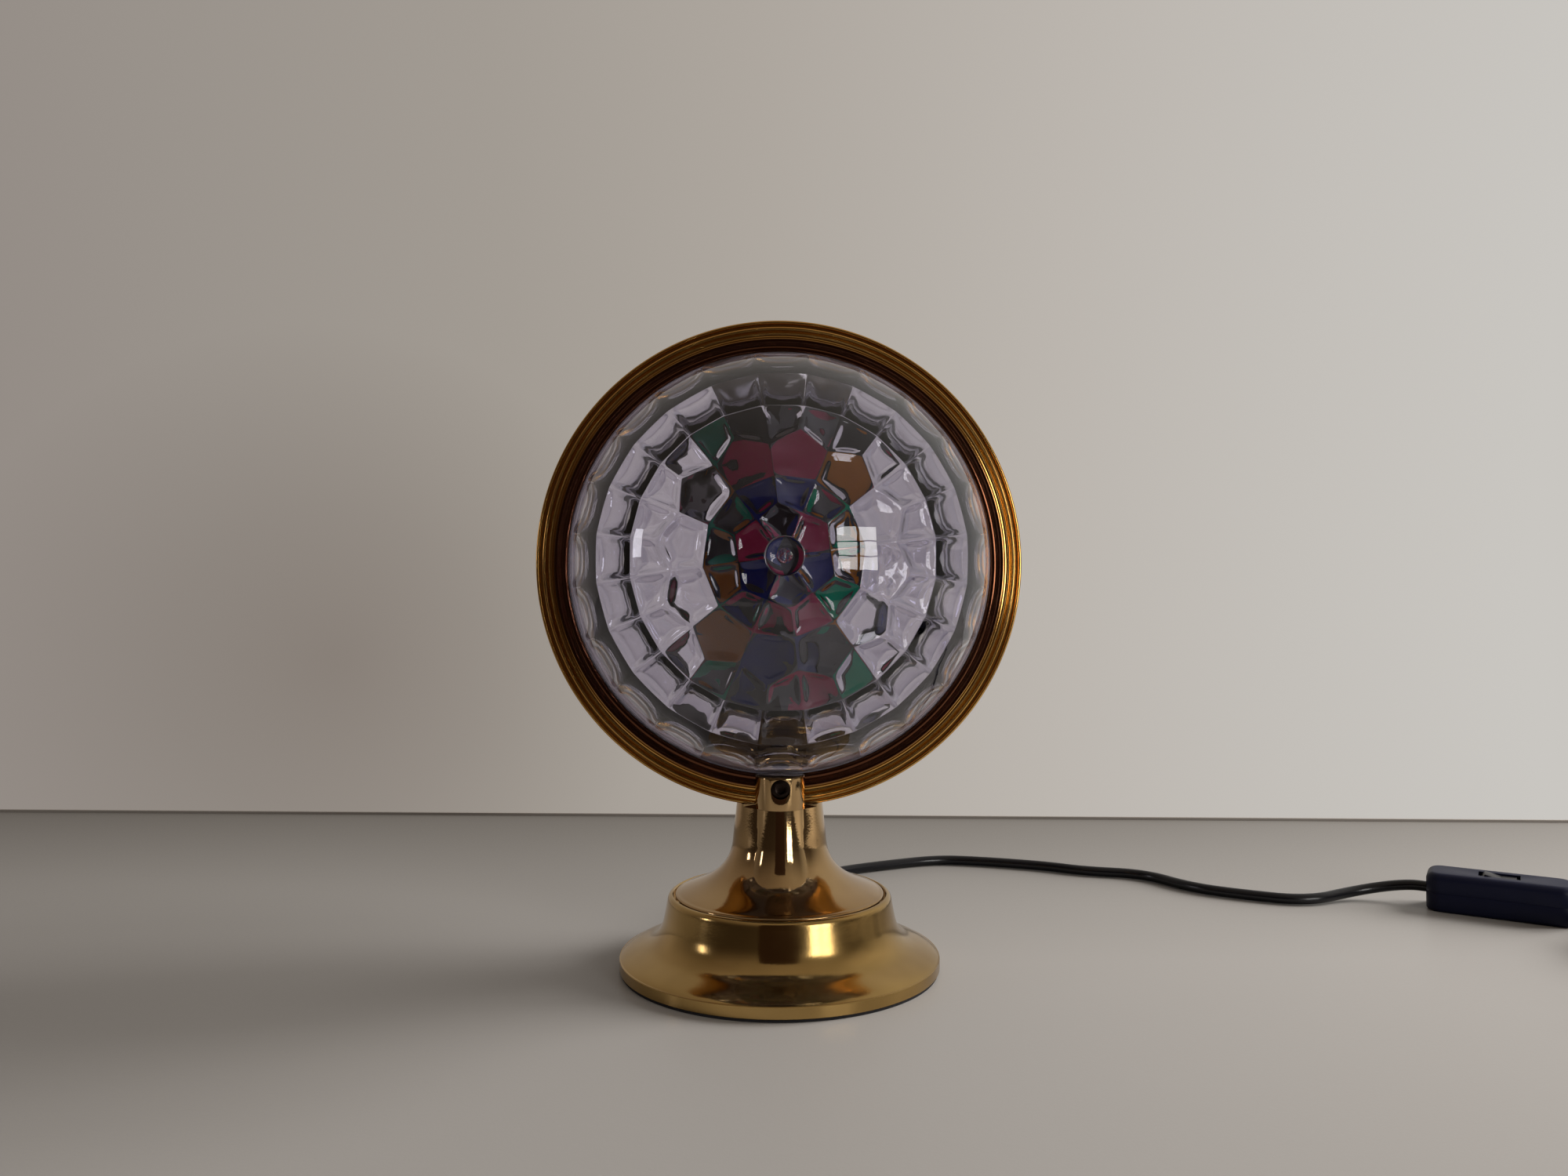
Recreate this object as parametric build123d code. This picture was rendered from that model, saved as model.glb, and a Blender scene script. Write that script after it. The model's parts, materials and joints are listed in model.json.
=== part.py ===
from build123d import *
import math
import os

# Table-top mood light: a faceted clear ball in a brass ring, clamped in the fork of a
# turning brass stem on a spun brass base. A colour drum turns round the bulb inside.
# Millimetres, +Z up, the front lens faces -Y, the origin is the base's centre on the table.
os.makedirs("parts", exist_ok=True)

# Clearances
RUN_GAP = 0.3
SEAT_GAP = 0.05
PIN_GAP = 0.06
BOLT_GAP = 0.2

# Base
FELT_THICKNESS = 1.0
FELT_INSET = 0.6
BASE_RADIUS = 60.6
BASE_HEIGHT = 28.0
BASE_WALL = 1.3
RIM_HEIGHT = 4.3
RIM_STEP = 0.5
SHOULDER_RADIUS = 52.0
SHOULDER_RISE = 2.2
NECK_RADIUS = 43.0
NECK_FOOT_DROP = 11.0
LIP_WIDTH = 2.5
LIP_ROUND = 1.8
DECK_DROP = 3.4
DECK_THICKNESS = 1.3
COVER_THICKNESS = 1.0
COVER_GAP = 0.2
WEIGHT_MARGIN = 3.0
WEIGHT_HEIGHT = 8.5
WEIGHT_BORE = 14.0
WEIGHT_SLOT = 16.0
PILLAR_RADIUS = 4.0
PILLAR_INSET = 8.5
PILLAR_COUNT = 3
COVER_SCREW_TURN = 30.0

# Screws of the base and the switch
SCREW_RADIUS = 1.9
SCREW_HEAD_RADIUS = 3.4
SCREW_HEAD_HEIGHT = 1.7
SCREW_LENGTH = 7.0
SCREW_SLOT = 0.9

# Swivel
NIPPLE_RADIUS = 5.0
NIPPLE_BORE = 3.2
WASHER_RADIUS = 12.0
WASHER_THICKNESS = 0.8
NUT_ACROSS_FLATS = 14.0
NUT_HEIGHT = 4.0
HUB_RADIUS = 13.0
NIPPLE_GRIP = 10.0
WEB_RISE = 13.1
WEB_HOLLOW_RADIUS = 18.2
STOP_CIRCLE = 22.5
STOP_PIN_RADIUS = 1.5
STOP_PIN_HEIGHT = 3.0
STOP_LUG_WIDTH = 5.0
STOP_LUG_DEPTH = 5.0

# Stem and fork
CAP_CLEARANCE = 0.9
CAP_BEAD = 0.8
CAP_SINK = 1.1
CAP_SHOULDER_RADIUS = 34.2
CAP_SHOULDER_RISE = 3.7
STEM_WALL = 1.7
STEM_TOP_RADIUS = 16.2
STEM_WAIST_RADIUS = 18.1
STEM_WAIST_RISE = 19.6
FLARE_RADIUS = 28.0
FLARE_RISE = 6.3
POST_RADIUS = 9.3
POST_REACH = 19.3
POST_FOOT_RISE = 11.1
STEM_HEIGHT = 34.9
SADDLE_DEPTH = 1.1
CHEEK_HEIGHT = 12.3
CHEEK_CROWN = 0.8
CLAMP_SCREW_RISE = 8.0
CLAMP_SCREW_RADIUS = 1.9
CLAMP_HEAD_RADIUS = 3.4
CLAMP_HEAD_HEIGHT = 2.6
CLAMP_HEAD_SINK = 1.2
CLAMP_SOCKET_RADIUS = 1.8
CLAMP_SOCKET_DEPTH = 1.6
CLAMP_THREAD_END = 3.0
WIRE_HOLE_RADIUS = 3.0

# Ring and its two bezels
RING_RADIUS = 91.5
RING_SEAT_DROP = 0.1
RING_WALL = 1.2
RIM_BEAD = 0.7
GROOVE_WIDTH = 0.8
MAIN_BEAD_WIDTH = 2.0
MAIN_BEAD_CROWN = 1.6
FACE_STEP_WIDTH = 1.8
LINE_GROOVE = 0.5
LIP_LAND = 2.0
FACE_DEPTH = 7.3
LIP_BACK_DEPTH = 5.2

# Lenses
DOME_GAP = 4.0
FLANGE_BACK = 2.2
FLANGE_THICKNESS = 2.9
FLANGE_CLEARANCE = 0.4
RIM_LENS_WALL = 2.5
BOSS_RADIUS = 6.4
BOSS_DEPTH = 6.5
# Facet rows from the rim to the middle: how many facets, their tilt from the lens axis in
# degrees, how deep their planes lie under the dome's surface, and the first facet's turn
FACET_COUNTS = (24, 24, 24, 12, 12, 6)
FACET_TILTS = (67.0, 47.8, 30.4, 24.9, 13.9, 7.5)
FACET_DEPTHS = (4.9, 3.8, 4.4, 4.9, 4.9, 5.1)
FACET_TURNS = (0.0, 0.0, 0.0, 22.5, 22.5, 37.5)

# Inner frame that carries the motor and the lampholder
HOOP_WIDTH = 9.4
STRAP_THICKNESS = 1.6
STRAP_WIDTH = 20.0
STRAP_WIDE_SPAN = 60.0
STRAP_INSET = 12.3

# Motor
MOTOR_RADIUS = 21.0
MOTOR_HEIGHT = 14.0
MOTOR_EDGE = 1.2
GEARBOX_RADIUS = 6.0
GEARBOX_HEIGHT = 1.6
SHAFT_RADIUS = 2.0
SHAFT_LENGTH = 10.5

# Colour drum, a prism with a window pattern in each side
DRUM_SIDES = 12
DRUM_RADIUS = 31.5
DRUM_WALL = 0.8
DRUM_FOOT_RISE = 12.9
DRUM_TOP_DROP = 5.9
DRUM_HUB_RADIUS = 6.0
DRUM_HUB_HEIGHT = 7.0
DRUM_LID = 1.0
WINDOW_ROWS = 7
WINDOW_PITCH = 14.0
WINDOW_HEIGHT = 11.4
WINDOW_WIDTH = 12.6
FILM_THICKNESS = 0.3
FILM_OVERLAP = 0.9
VENT_COUNT = 6
VENT_RADIUS = 4.6
VENT_CIRCLE = 19.0

# Lampholder and bulb
HOLDER_RADIUS = 12.5
HOLDER_SKIRT_RADIUS = 14.0
HOLDER_SKIRT_HEIGHT = 14.0
HOLDER_EDGE = 1.5
BULB_CAP_EDGE = 2.0
BULB_CAP_RADIUS = 7.0
BULB_CAP_HEIGHT = 23.0
BULB_CAP_SINK = 20.0
BULB_RADIUS = 22.5
BULB_CENTRE_RISE = 2.0
BULB_NECK_RADIUS = 6.6
BULB_NECK_HEIGHT = 10.0

# Cord
CORD_DIAMETER = 4.8
CORD_LIFT = 0.1
RELIEF_Z = 13.0
RELIEF_START = 52.0
RELIEF_END = 74.0
RELIEF_INNER_END = 40.5
RELIEF_NECK_RADIUS = 3.9
RELIEF_COLLAR_RADIUS = 4.7
RELIEF_TIP_RADIUS = 3.1
RELIEF_SLOTS = 5
RELIEF_SLOT_DEPTH = 0.7

# Inline switch: middle of the end that faces the lamp, and its turn from +X
SWITCH_X = 297.0
SWITCH_Y = 77.0
SWITCH_TURN = -34.0
SWITCH_LENGTH = 56.0
SWITCH_WIDTH = 23.0
SWITCH_HEIGHT = 17.0
SWITCH_CORNER = 6.0
SWITCH_EDGE = 3.2
SWITCH_WALL = 1.8
ROCKER_PIVOT_DROP = 4.8
ROCKER_REACH = 7.6
ROCKER_WIDTH = 8.6
ROCKER_TILT = 7.0
ROCKER_DEPTH = 3.4
ROCKER_DISH = 0.8
TRUNNION_RADIUS = 1.2
TRUNNION_LENGTH = 1.6

# Coil of the put-away cord
COIL_OUTER_RADIUS = 38.0
COIL_PITCH = 6.0
COIL_RISE = 5.6
COIL_QUARTERS_IN = 13
COIL_QUARTERS_OUT = 14
COIL_START_TURN = 56.0
COIL_SIDES = 6
TIE_TURN = 101.0
TIE_WIDTH = 6.0
TIE_THICKNESS = 0.6
TIE_SPARE = 0.45
LINK_LENGTH = 44.0

# Plug
TAIL_END = 13.0
TAIL_MIDDLE = 19.0
PLUG_TURN = 195.0
PLUG_LENGTH = 34.0
PLUG_WIDTH = 35.0
PLUG_NOSE_WIDTH = 27.0
PLUG_THICKNESS = 13.8
PLUG_RELIEF_LENGTH = 20.0
PLUG_RELIEF_RADIUS = 4.6
PIN_SPACING = 18.6
PIN_RADIUS = 2.0
PIN_LENGTH = 19.0
PIN_SEAT = 5.0

# Worked-out places
DECK_TOP = BASE_HEIGHT - DECK_DROP
DECK_UNDERSIDE = DECK_TOP - DECK_THICKNESS
COVER_TOP = FELT_THICKNESS + COVER_THICKNESS
WEIGHT_FOOT = COVER_TOP + SEAT_GAP
WEIGHT_TOP = WEIGHT_FOOT + WEIGHT_HEIGHT
HUB_FOOT = DECK_TOP + WASHER_THICKNESS + RUN_GAP
LIP_RADIUS = NECK_RADIUS - LIP_WIDTH
WEIGHT_RADIUS = NECK_RADIUS - WEIGHT_MARGIN
PILLAR_CIRCLE = WEIGHT_RADIUS - PILLAR_INSET
CAP_RADIUS = LIP_RADIUS - CAP_CLEARANCE
CAP_FOOT_Z = BASE_HEIGHT - CAP_SINK
CAP_EDGE_RADIUS = CAP_RADIUS - CAP_BEAD
FLARE_Z = CAP_FOOT_Z + FLARE_RISE
WEB_Z = CAP_FOOT_Z + WEB_RISE
STEM_WAIST_Z = CAP_FOOT_Z + STEM_WAIST_RISE
POST_FOOT_Z = CAP_FOOT_Z + POST_FOOT_RISE
CHEEK_FOOT_Z = CAP_FOOT_Z + STEM_HEIGHT
CHEEK_TOP_Z = CHEEK_FOOT_Z + CHEEK_HEIGHT
STEM_TOP_Z = CHEEK_FOOT_Z + SADDLE_DEPTH
CLAMP_SCREW_Z = CHEEK_FOOT_Z + CLAMP_SCREW_RISE
RING_CENTRE_Z = CHEEK_FOOT_Z - RING_SEAT_DROP + RING_RADIUS
SADDLE_RADIUS = RING_RADIUS + SEAT_GAP
FACE_WIDTH = 2 * RIM_BEAD + GROOVE_WIDTH + MAIN_BEAD_WIDTH + FACE_STEP_WIDTH + LINE_GROOVE
LIP_INNER_RADIUS = RING_RADIUS - FACE_WIDTH - LIP_LAND
FLANGE_RADIUS = RING_RADIUS - RING_WALL - FLANGE_CLEARANCE
LENS_RADIUS = LIP_INNER_RADIUS - DOME_GAP
PLAIN_BORE = LENS_RADIUS - RIM_LENS_WALL
BOSS_REACH = LENS_RADIUS - BOSS_DEPTH
HOOP_OUTER = FLANGE_RADIUS
HOOP_INNER = HOOP_OUTER - HOOP_WIDTH
TOP_STRAP_Z = RING_CENTRE_Z + HOOP_INNER - STRAP_INSET
BOTTOM_STRAP_Z = RING_CENTRE_Z - HOOP_INNER + STRAP_INSET
POST_AXIS = POST_REACH - POST_RADIUS
CHEEK_BACK = FACE_DEPTH + MAIN_BEAD_CROWN + SEAT_GAP
MOTOR_FOOT = TOP_STRAP_Z - MOTOR_HEIGHT
HOLDER_FOOT = BOTTOM_STRAP_Z + STRAP_THICKNESS
DRUM_FOOT_Z = HOLDER_FOOT + DRUM_FOOT_RISE
DRUM_TOP_Z = MOTOR_FOOT - DRUM_TOP_DROP
BULB_CENTRE_Z = RING_CENTRE_Z + BULB_CENTRE_RISE
BULB_FOOT_Z = BULB_CENTRE_Z - math.sqrt(BULB_RADIUS**2 - BULB_NECK_RADIUS**2)
BULB_CAP_FOOT = BULB_FOOT_Z - BULB_NECK_HEIGHT - BULB_CAP_HEIGHT
HOLDER_TOP = BULB_CAP_FOOT + BULB_CAP_SINK
CORD_RADIUS = CORD_DIAMETER / 2
CORD_LOW = CORD_RADIUS + CORD_LIFT
SWITCH_MID = SWITCH_HEIGHT / 2
COIL_LOW = CORD_LOW + TIE_THICKNESS + TIE_SPARE
COIL_HIGH = COIL_LOW + COIL_RISE
PLUG_MID = PLUG_THICKNESS / 2

SIDE_VIEW = Plane.XZ
RING_CENTRE = (0, 0, RING_CENTRE_Z)
FRONT = Plane(origin=RING_CENTRE, x_dir=(1, 0, 0), z_dir=(0, -1, 0))
REAR = Plane(origin=RING_CENTRE, x_dir=(-1, 0, 0), z_dir=(0, 1, 0))


def save(shape, node):
    export_step(shape, "parts/" + node + ".step")


def turned(*edges):
    """A solid of revolution about Z from edges drawn as (radius, height)."""
    return revolve(SIDE_VIEW * make_face(list(edges)), Axis.Z)


def rod(radius, height, foot=0.0, x=0.0, y=0.0):
    """An upright round bar that stands at the height foot."""
    return Pos(x, y, foot) * Cylinder(radius, height, align=(Align.CENTER, Align.CENTER, Align.MIN))


def along(x, z, radius, y_from, y_to):
    """A round bar along Y."""
    bar = Cylinder(radius, y_to - y_from, align=(Align.CENTER, Align.CENTER, Align.MIN))
    return Pos(x, y_from, z) * Rot(-90, 0, 0) * bar


def block(x_size, y_size, z_size, foot=0.0):
    return Pos(0, 0, foot) * Box(x_size, y_size, z_size, align=(Align.CENTER, Align.CENTER, Align.MIN))


def slotted_screw(head_up=True):
    """A cheese-head screw whose head sits on the plane of its origin."""
    screw = rod(SCREW_HEAD_RADIUS, SCREW_HEAD_HEIGHT) + rod(SCREW_RADIUS, SCREW_LENGTH, -SCREW_LENGTH)
    slot = block(2.2 * SCREW_HEAD_RADIUS, SCREW_SLOT, SCREW_HEAD_HEIGHT, SCREW_HEAD_HEIGHT / 2)
    screw -= slot
    return screw if head_up else Rot(180, 0, 0) * screw


# Base: spun shell, weight, cover, felt, screws
def base_outline():
    """The shell's outer side from the rim's foot to the lip, as (radius, height)."""
    rim_top = FELT_THICKNESS + RIM_HEIGHT
    shoulder_z = rim_top + SHOULDER_RISE
    neck_foot = BASE_HEIGHT - NECK_FOOT_DROP
    mid_radius = (BASE_RADIUS - RIM_STEP + SHOULDER_RADIUS) / 2
    rim = Line((BASE_RADIUS, FELT_THICKNESS), (BASE_RADIUS, rim_top))
    step = Line(rim @ 1, (BASE_RADIUS - RIM_STEP, rim_top))
    bulge = (mid_radius, rim_top + 0.62 * SHOULDER_RISE)
    shoulder = ThreePointArc(step @ 1, bulge, (SHOULDER_RADIUS, shoulder_z))
    cove = TangentArc(shoulder @ 1, (NECK_RADIUS + 0.9, neck_foot), tangent=shoulder % 1)
    round_start = BASE_HEIGHT - LIP_ROUND
    neck = Line(cove @ 1, (NECK_RADIUS - 0.4, round_start))
    lip = TangentArc(neck @ 1, (LIP_RADIUS, BASE_HEIGHT), tangent=neck % 1)
    return [rim, step, shoulder, cove, neck, lip]


def base_shell():
    outline = base_outline()
    rim_top = FELT_THICKNESS + RIM_HEIGHT
    lip_edge = Line(outline[-1] @ 1, (LIP_RADIUS, DECK_TOP))
    deck = Line(lip_edge @ 1, (NIPPLE_RADIUS + PIN_GAP, DECK_TOP))
    bore = Line(deck @ 1, (NIPPLE_RADIUS + PIN_GAP, DECK_UNDERSIDE))
    neck_inside = NECK_RADIUS - 0.4 - BASE_WALL
    underside = Line(bore @ 1, (neck_inside, DECK_UNDERSIDE))
    neck_foot = BASE_HEIGHT - NECK_FOOT_DROP
    inner_neck = Line(underside @ 1, (NECK_RADIUS + 0.9 - BASE_WALL, neck_foot))
    inner_shoulder = (SHOULDER_RADIUS, rim_top + SHOULDER_RISE - BASE_WALL)
    cove = outline[3]
    corners = [inner_neck @ 1]
    for share in (0.75, 0.5, 0.25):
        on_cove = cove @ share
        corners.append((on_cove.X - 0.8 * BASE_WALL, on_cove.Y - 0.8 * BASE_WALL))
    corners.append(inner_shoulder)
    inner_cove = Polyline(*corners)
    rim_inside = BASE_RADIUS - BASE_WALL
    inner_slope = Line(inner_cove @ 1, (rim_inside, rim_top - BASE_WALL))
    inner_rim = Line(inner_slope @ 1, (rim_inside, FELT_THICKNESS))
    foot = Line(inner_rim @ 1, (BASE_RADIUS, FELT_THICKNESS))
    inside = [lip_edge, deck, bore, underside, inner_neck, inner_cove, inner_slope, inner_rim, foot]
    shell = turned(*outline, *inside)
    shell -= along(0, RELIEF_Z, RELIEF_NECK_RADIUS + SEAT_GAP, RELIEF_INNER_END, RELIEF_END)
    for screw_hole in pillar_places():
        shell -= screw_hole * rod(SCREW_RADIUS + BOLT_GAP, 2 * DECK_THICKNESS, DECK_UNDERSIDE - SEAT_GAP)
    shell -= rod(STOP_PIN_RADIUS, DECK_THICKNESS, DECK_UNDERSIDE, 0, STOP_CIRCLE)
    return shell


def pillar_places():
    step = 360 / PILLAR_COUNT
    return [Rot(0, 0, step * i - 90) * Pos(PILLAR_CIRCLE, 0, 0) for i in range(PILLAR_COUNT)]


def base_weight():
    weight = rod(WEIGHT_RADIUS, WEIGHT_HEIGHT, WEIGHT_FOOT)
    weight = chamfer(weight.edges().group_by(Axis.Z)[-1], 1.2)
    weight -= rod(WEIGHT_BORE, WEIGHT_HEIGHT, WEIGHT_FOOT)
    cord_slot = Pos(0, WEIGHT_RADIUS, 0) * block(WEIGHT_SLOT, WEIGHT_RADIUS, WEIGHT_HEIGHT, WEIGHT_FOOT)
    weight -= cord_slot
    pillar_height = DECK_UNDERSIDE - SEAT_GAP - WEIGHT_TOP
    for place in pillar_places():
        weight += place * rod(PILLAR_RADIUS, pillar_height, WEIGHT_TOP)
        weight -= place * rod(SCREW_RADIUS, SCREW_LENGTH, DECK_UNDERSIDE - SCREW_LENGTH)
        weight -= Rot(0, 0, COVER_SCREW_TURN) * place * rod(SCREW_RADIUS, SCREW_LENGTH, WEIGHT_FOOT)
    return weight


def cover_plate():
    plate = rod(BASE_RADIUS - BASE_WALL - COVER_GAP, COVER_THICKNESS, FELT_THICKNESS)
    for place in pillar_places():
        plate -= Rot(0, 0, COVER_SCREW_TURN) * place * rod(SCREW_RADIUS + BOLT_GAP, COVER_THICKNESS, FELT_THICKNESS)
    return plate


def felt_pad():
    pad = rod(BASE_RADIUS - FELT_INSET, FELT_THICKNESS)
    for place in pillar_places():
        pad -= Rot(0, 0, COVER_SCREW_TURN) * place * rod(SCREW_HEAD_RADIUS + BOLT_GAP, FELT_THICKNESS)
    return pad


def deck_screws():
    return [place * Pos(0, 0, DECK_TOP) * slotted_screw() for place in pillar_places()]


def cover_screws():
    """Pan screws with thin heads, sunk in the felt."""
    screws = []
    for place in pillar_places():
        head = rod(SCREW_HEAD_RADIUS, FELT_THICKNESS - 2 * SEAT_GAP, SEAT_GAP)
        head -= block(2.2 * SCREW_HEAD_RADIUS, SCREW_SLOT, FELT_THICKNESS / 2)
        screw = head + rod(SCREW_RADIUS, SCREW_LENGTH, FELT_THICKNESS - SEAT_GAP)
        screws.append(Rot(0, 0, COVER_SCREW_TURN) * place * screw)
    return screws


def cord_relief():
    """Tapered rubber sleeve through the shell's back wall, with slots that let it bend."""
    length = RELIEF_END - RELIEF_START
    pitch = length / (RELIEF_SLOTS + 1)
    points = [(0, RELIEF_INNER_END), (RELIEF_NECK_RADIUS, RELIEF_INNER_END)]
    points += [(RELIEF_NECK_RADIUS, RELIEF_START), (RELIEF_COLLAR_RADIUS, RELIEF_START)]
    taper = (RELIEF_COLLAR_RADIUS - RELIEF_TIP_RADIUS) / length
    for i in range(RELIEF_SLOTS):
        slot_from = (i + 0.8) * pitch
        slot_to = (i + 1.2) * pitch
        rim_radius = RELIEF_COLLAR_RADIUS - taper * slot_from
        far_radius = RELIEF_COLLAR_RADIUS - taper * slot_to
        points += [(rim_radius, RELIEF_START + slot_from)]
        points += [(rim_radius - RELIEF_SLOT_DEPTH, RELIEF_START + slot_from)]
        points += [(far_radius - RELIEF_SLOT_DEPTH, RELIEF_START + slot_to)]
        points += [(far_radius, RELIEF_START + slot_to)]
    points += [(RELIEF_TIP_RADIUS, RELIEF_END), (0, RELIEF_END), (0, RELIEF_INNER_END)]
    sleeve = revolve(SIDE_VIEW * make_face(Polyline(*points)), Axis.Z)
    return Pos(0, 0, RELIEF_Z) * Rot(-90, 0, 0) * sleeve


# Swivel: threaded nipple, washers, nut and the stop that keeps the wires from winding up
def nipple():
    nut_foot = nut_top() - NUT_HEIGHT
    length = HUB_FOOT + NIPPLE_GRIP - (nut_foot - 2)
    tube = rod(NIPPLE_RADIUS, length, nut_foot - 2)
    return tube - rod(NIPPLE_BORE, length, nut_foot - 2)


def nut_top():
    return DECK_UNDERSIDE - RUN_GAP - WASHER_THICKNESS - SEAT_GAP


def washer(foot):
    ring = rod(WASHER_RADIUS, WASHER_THICKNESS, foot)
    return ring - rod(NIPPLE_RADIUS + PIN_GAP, WASHER_THICKNESS, foot)


def swivel_nut():
    across = RegularPolygon(NUT_ACROSS_FLATS / 2, 6, major_radius=False)
    nut = Pos(0, 0, nut_top() - NUT_HEIGHT) * extrude(across, NUT_HEIGHT)
    return nut - rod(NIPPLE_RADIUS, NUT_HEIGHT, nut_top() - NUT_HEIGHT)


def stop_pin():
    height = DECK_THICKNESS + STOP_PIN_HEIGHT
    return rod(STOP_PIN_RADIUS, height, DECK_UNDERSIDE, 0, STOP_CIRCLE)


# Stem: flared cap and column, two posts, saddle for the ring
def stem_outline():
    bead_z = CAP_FOOT_Z + 2 * CAP_BEAD
    foot = Line((CAP_EDGE_RADIUS - CAP_BEAD, CAP_FOOT_Z), (CAP_EDGE_RADIUS, CAP_FOOT_Z))
    bead = Polyline(foot @ 1, (CAP_RADIUS, CAP_FOOT_Z + 0.6 * CAP_BEAD), (CAP_RADIUS, CAP_FOOT_Z + 1.4 * CAP_BEAD),
                    (CAP_EDGE_RADIUS, bead_z))
    flare_start = (CAP_EDGE_RADIUS - 0.5 * CAP_BEAD, bead_z)
    step = Line(bead @ 1, flare_start)
    shoulder = (CAP_SHOULDER_RADIUS, CAP_FOOT_Z + CAP_SHOULDER_RISE)
    slope = ThreePointArc(flare_start, shoulder, (FLARE_RADIUS, FLARE_Z))
    curve = TangentArc(slope @ 1, (STEM_WAIST_RADIUS, STEM_WAIST_Z), tangent=slope % 1)
    column = Line(curve @ 1, (STEM_TOP_RADIUS, STEM_TOP_Z))
    return [foot, bead, step, slope, curve, column]


def stem():
    outline = stem_outline()
    top = Line(outline[-1] @ 1, (0, STEM_TOP_Z))
    axis_line = Line(top @ 1, (0, CAP_FOOT_Z))
    inner_foot = Line(axis_line @ 1, outline[0] @ 0)
    solid = turned(*outline, top, axis_line, inner_foot)
    body = solid - stem_hollow()
    for side in (-1, 1):
        body += rod(POST_RADIUS, CHEEK_FOOT_Z - POST_FOOT_Z, POST_FOOT_Z, 0, side * POST_AXIS)
        trim = block(2 * POST_REACH, 2 * POST_REACH, CHEEK_HEIGHT, CHEEK_FOOT_Z)
        body -= Pos(0, side * (CHEEK_BACK + POST_REACH), 0) * trim
    body += rod(HUB_RADIUS, WEB_Z + 1 - HUB_FOOT, HUB_FOOT)
    body -= rod(NIPPLE_RADIUS, NIPPLE_GRIP + 0.5, HUB_FOOT)
    body -= rod(WIRE_HOLE_RADIUS, STEM_TOP_Z, HUB_FOOT)
    body -= along(0, RING_CENTRE_Z, SADDLE_RADIUS, -CHEEK_BACK, CHEEK_BACK)
    lug_z = DECK_TOP + 3 * RUN_GAP
    lug_place = Pos(0, -STOP_CIRCLE, 0)
    body += lug_place * block(STOP_LUG_WIDTH, STOP_LUG_DEPTH, CAP_FOOT_Z + 1 - lug_z, lug_z)
    return body + (lug_place * block(STOP_LUG_WIDTH, STOP_LUG_DEPTH, WEB_Z - CAP_FOOT_Z, CAP_FOOT_Z) & solid)


def stem_hollow():
    """The space under the cap, one wall inside the outline and closed by a web."""
    foot_radius = CAP_EDGE_RADIUS - CAP_BEAD
    shoulder_z = CAP_FOOT_Z + CAP_SHOULDER_RISE - 1.4 * STEM_WALL
    flare_z = FLARE_Z - 1.4 * STEM_WALL
    outline = Polyline((0, CAP_FOOT_Z), (foot_radius, CAP_FOOT_Z), (CAP_SHOULDER_RADIUS, shoulder_z),
                       (FLARE_RADIUS, flare_z), (WEB_HOLLOW_RADIUS + STEM_WALL, WEB_Z - 2 * STEM_WALL),
                       (WEB_HOLLOW_RADIUS, WEB_Z), (0, WEB_Z), (0, CAP_FOOT_Z))
    return turned(outline)


def cheek(side):
    """The part of a post above its seam, which presses on the ring; side -1 is the front."""
    foot = CHEEK_FOOT_Z + SEAT_GAP
    piece = rod(POST_RADIUS, CHEEK_TOP_Z - foot, foot, 0, side * POST_AXIS)
    piece = fillet(piece.edges().group_by(Axis.Z)[-1], CHEEK_CROWN)
    inner = Pos(0, side * (CHEEK_BACK - POST_REACH), 0) * block(2 * POST_REACH, 2 * POST_REACH, 2 * CHEEK_TOP_Z)
    piece -= inner
    if side < 0:
        piece -= along(0, CLAMP_SCREW_Z, CLAMP_SCREW_RADIUS + BOLT_GAP, -POST_REACH - 1, 0)
        sink = CLAMP_HEAD_SINK + CLAMP_HEAD_HEIGHT
        piece -= along(0, CLAMP_SCREW_Z, CLAMP_HEAD_RADIUS + 0.2, -POST_REACH - 1, -POST_REACH + sink)
    else:
        piece -= along(0, CLAMP_SCREW_Z, CLAMP_SCREW_RADIUS, 0, POST_REACH - CLAMP_THREAD_END)
    return piece


def clamp_screw():
    head_from = -POST_REACH + CLAMP_HEAD_SINK
    head_to = head_from + CLAMP_HEAD_HEIGHT
    screw = along(0, CLAMP_SCREW_Z, CLAMP_HEAD_RADIUS, head_from, head_to)
    screw += along(0, CLAMP_SCREW_Z, CLAMP_SCREW_RADIUS, head_to, POST_REACH - CLAMP_THREAD_END - 1)
    return screw - along(0, CLAMP_SCREW_Z, CLAMP_SOCKET_RADIUS, head_from, head_from + CLAMP_SOCKET_DEPTH)


def clamp_screw_room():
    return along(0, CLAMP_SCREW_Z, CLAMP_SCREW_RADIUS + BOLT_GAP, -POST_REACH, POST_REACH)


def wire_room():
    return rod(WIRE_HOLE_RADIUS, 2 * POST_REACH, STEM_TOP_Z - POST_REACH)


# Ring: two equal bezels with a beaded face
def bead_line(outer, inner, foot, crown):
    """A half-round bead drawn with short straight sides, as (radius, height) corners."""
    middle = (outer + inner) / 2
    half = (outer - inner) / 2
    corners = []
    for turn in range(0, 181, 36):
        angle = math.radians(turn)
        corners.append((middle + half * math.cos(angle), foot + crown * math.sin(angle)))
    return Polyline(*corners)


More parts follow.
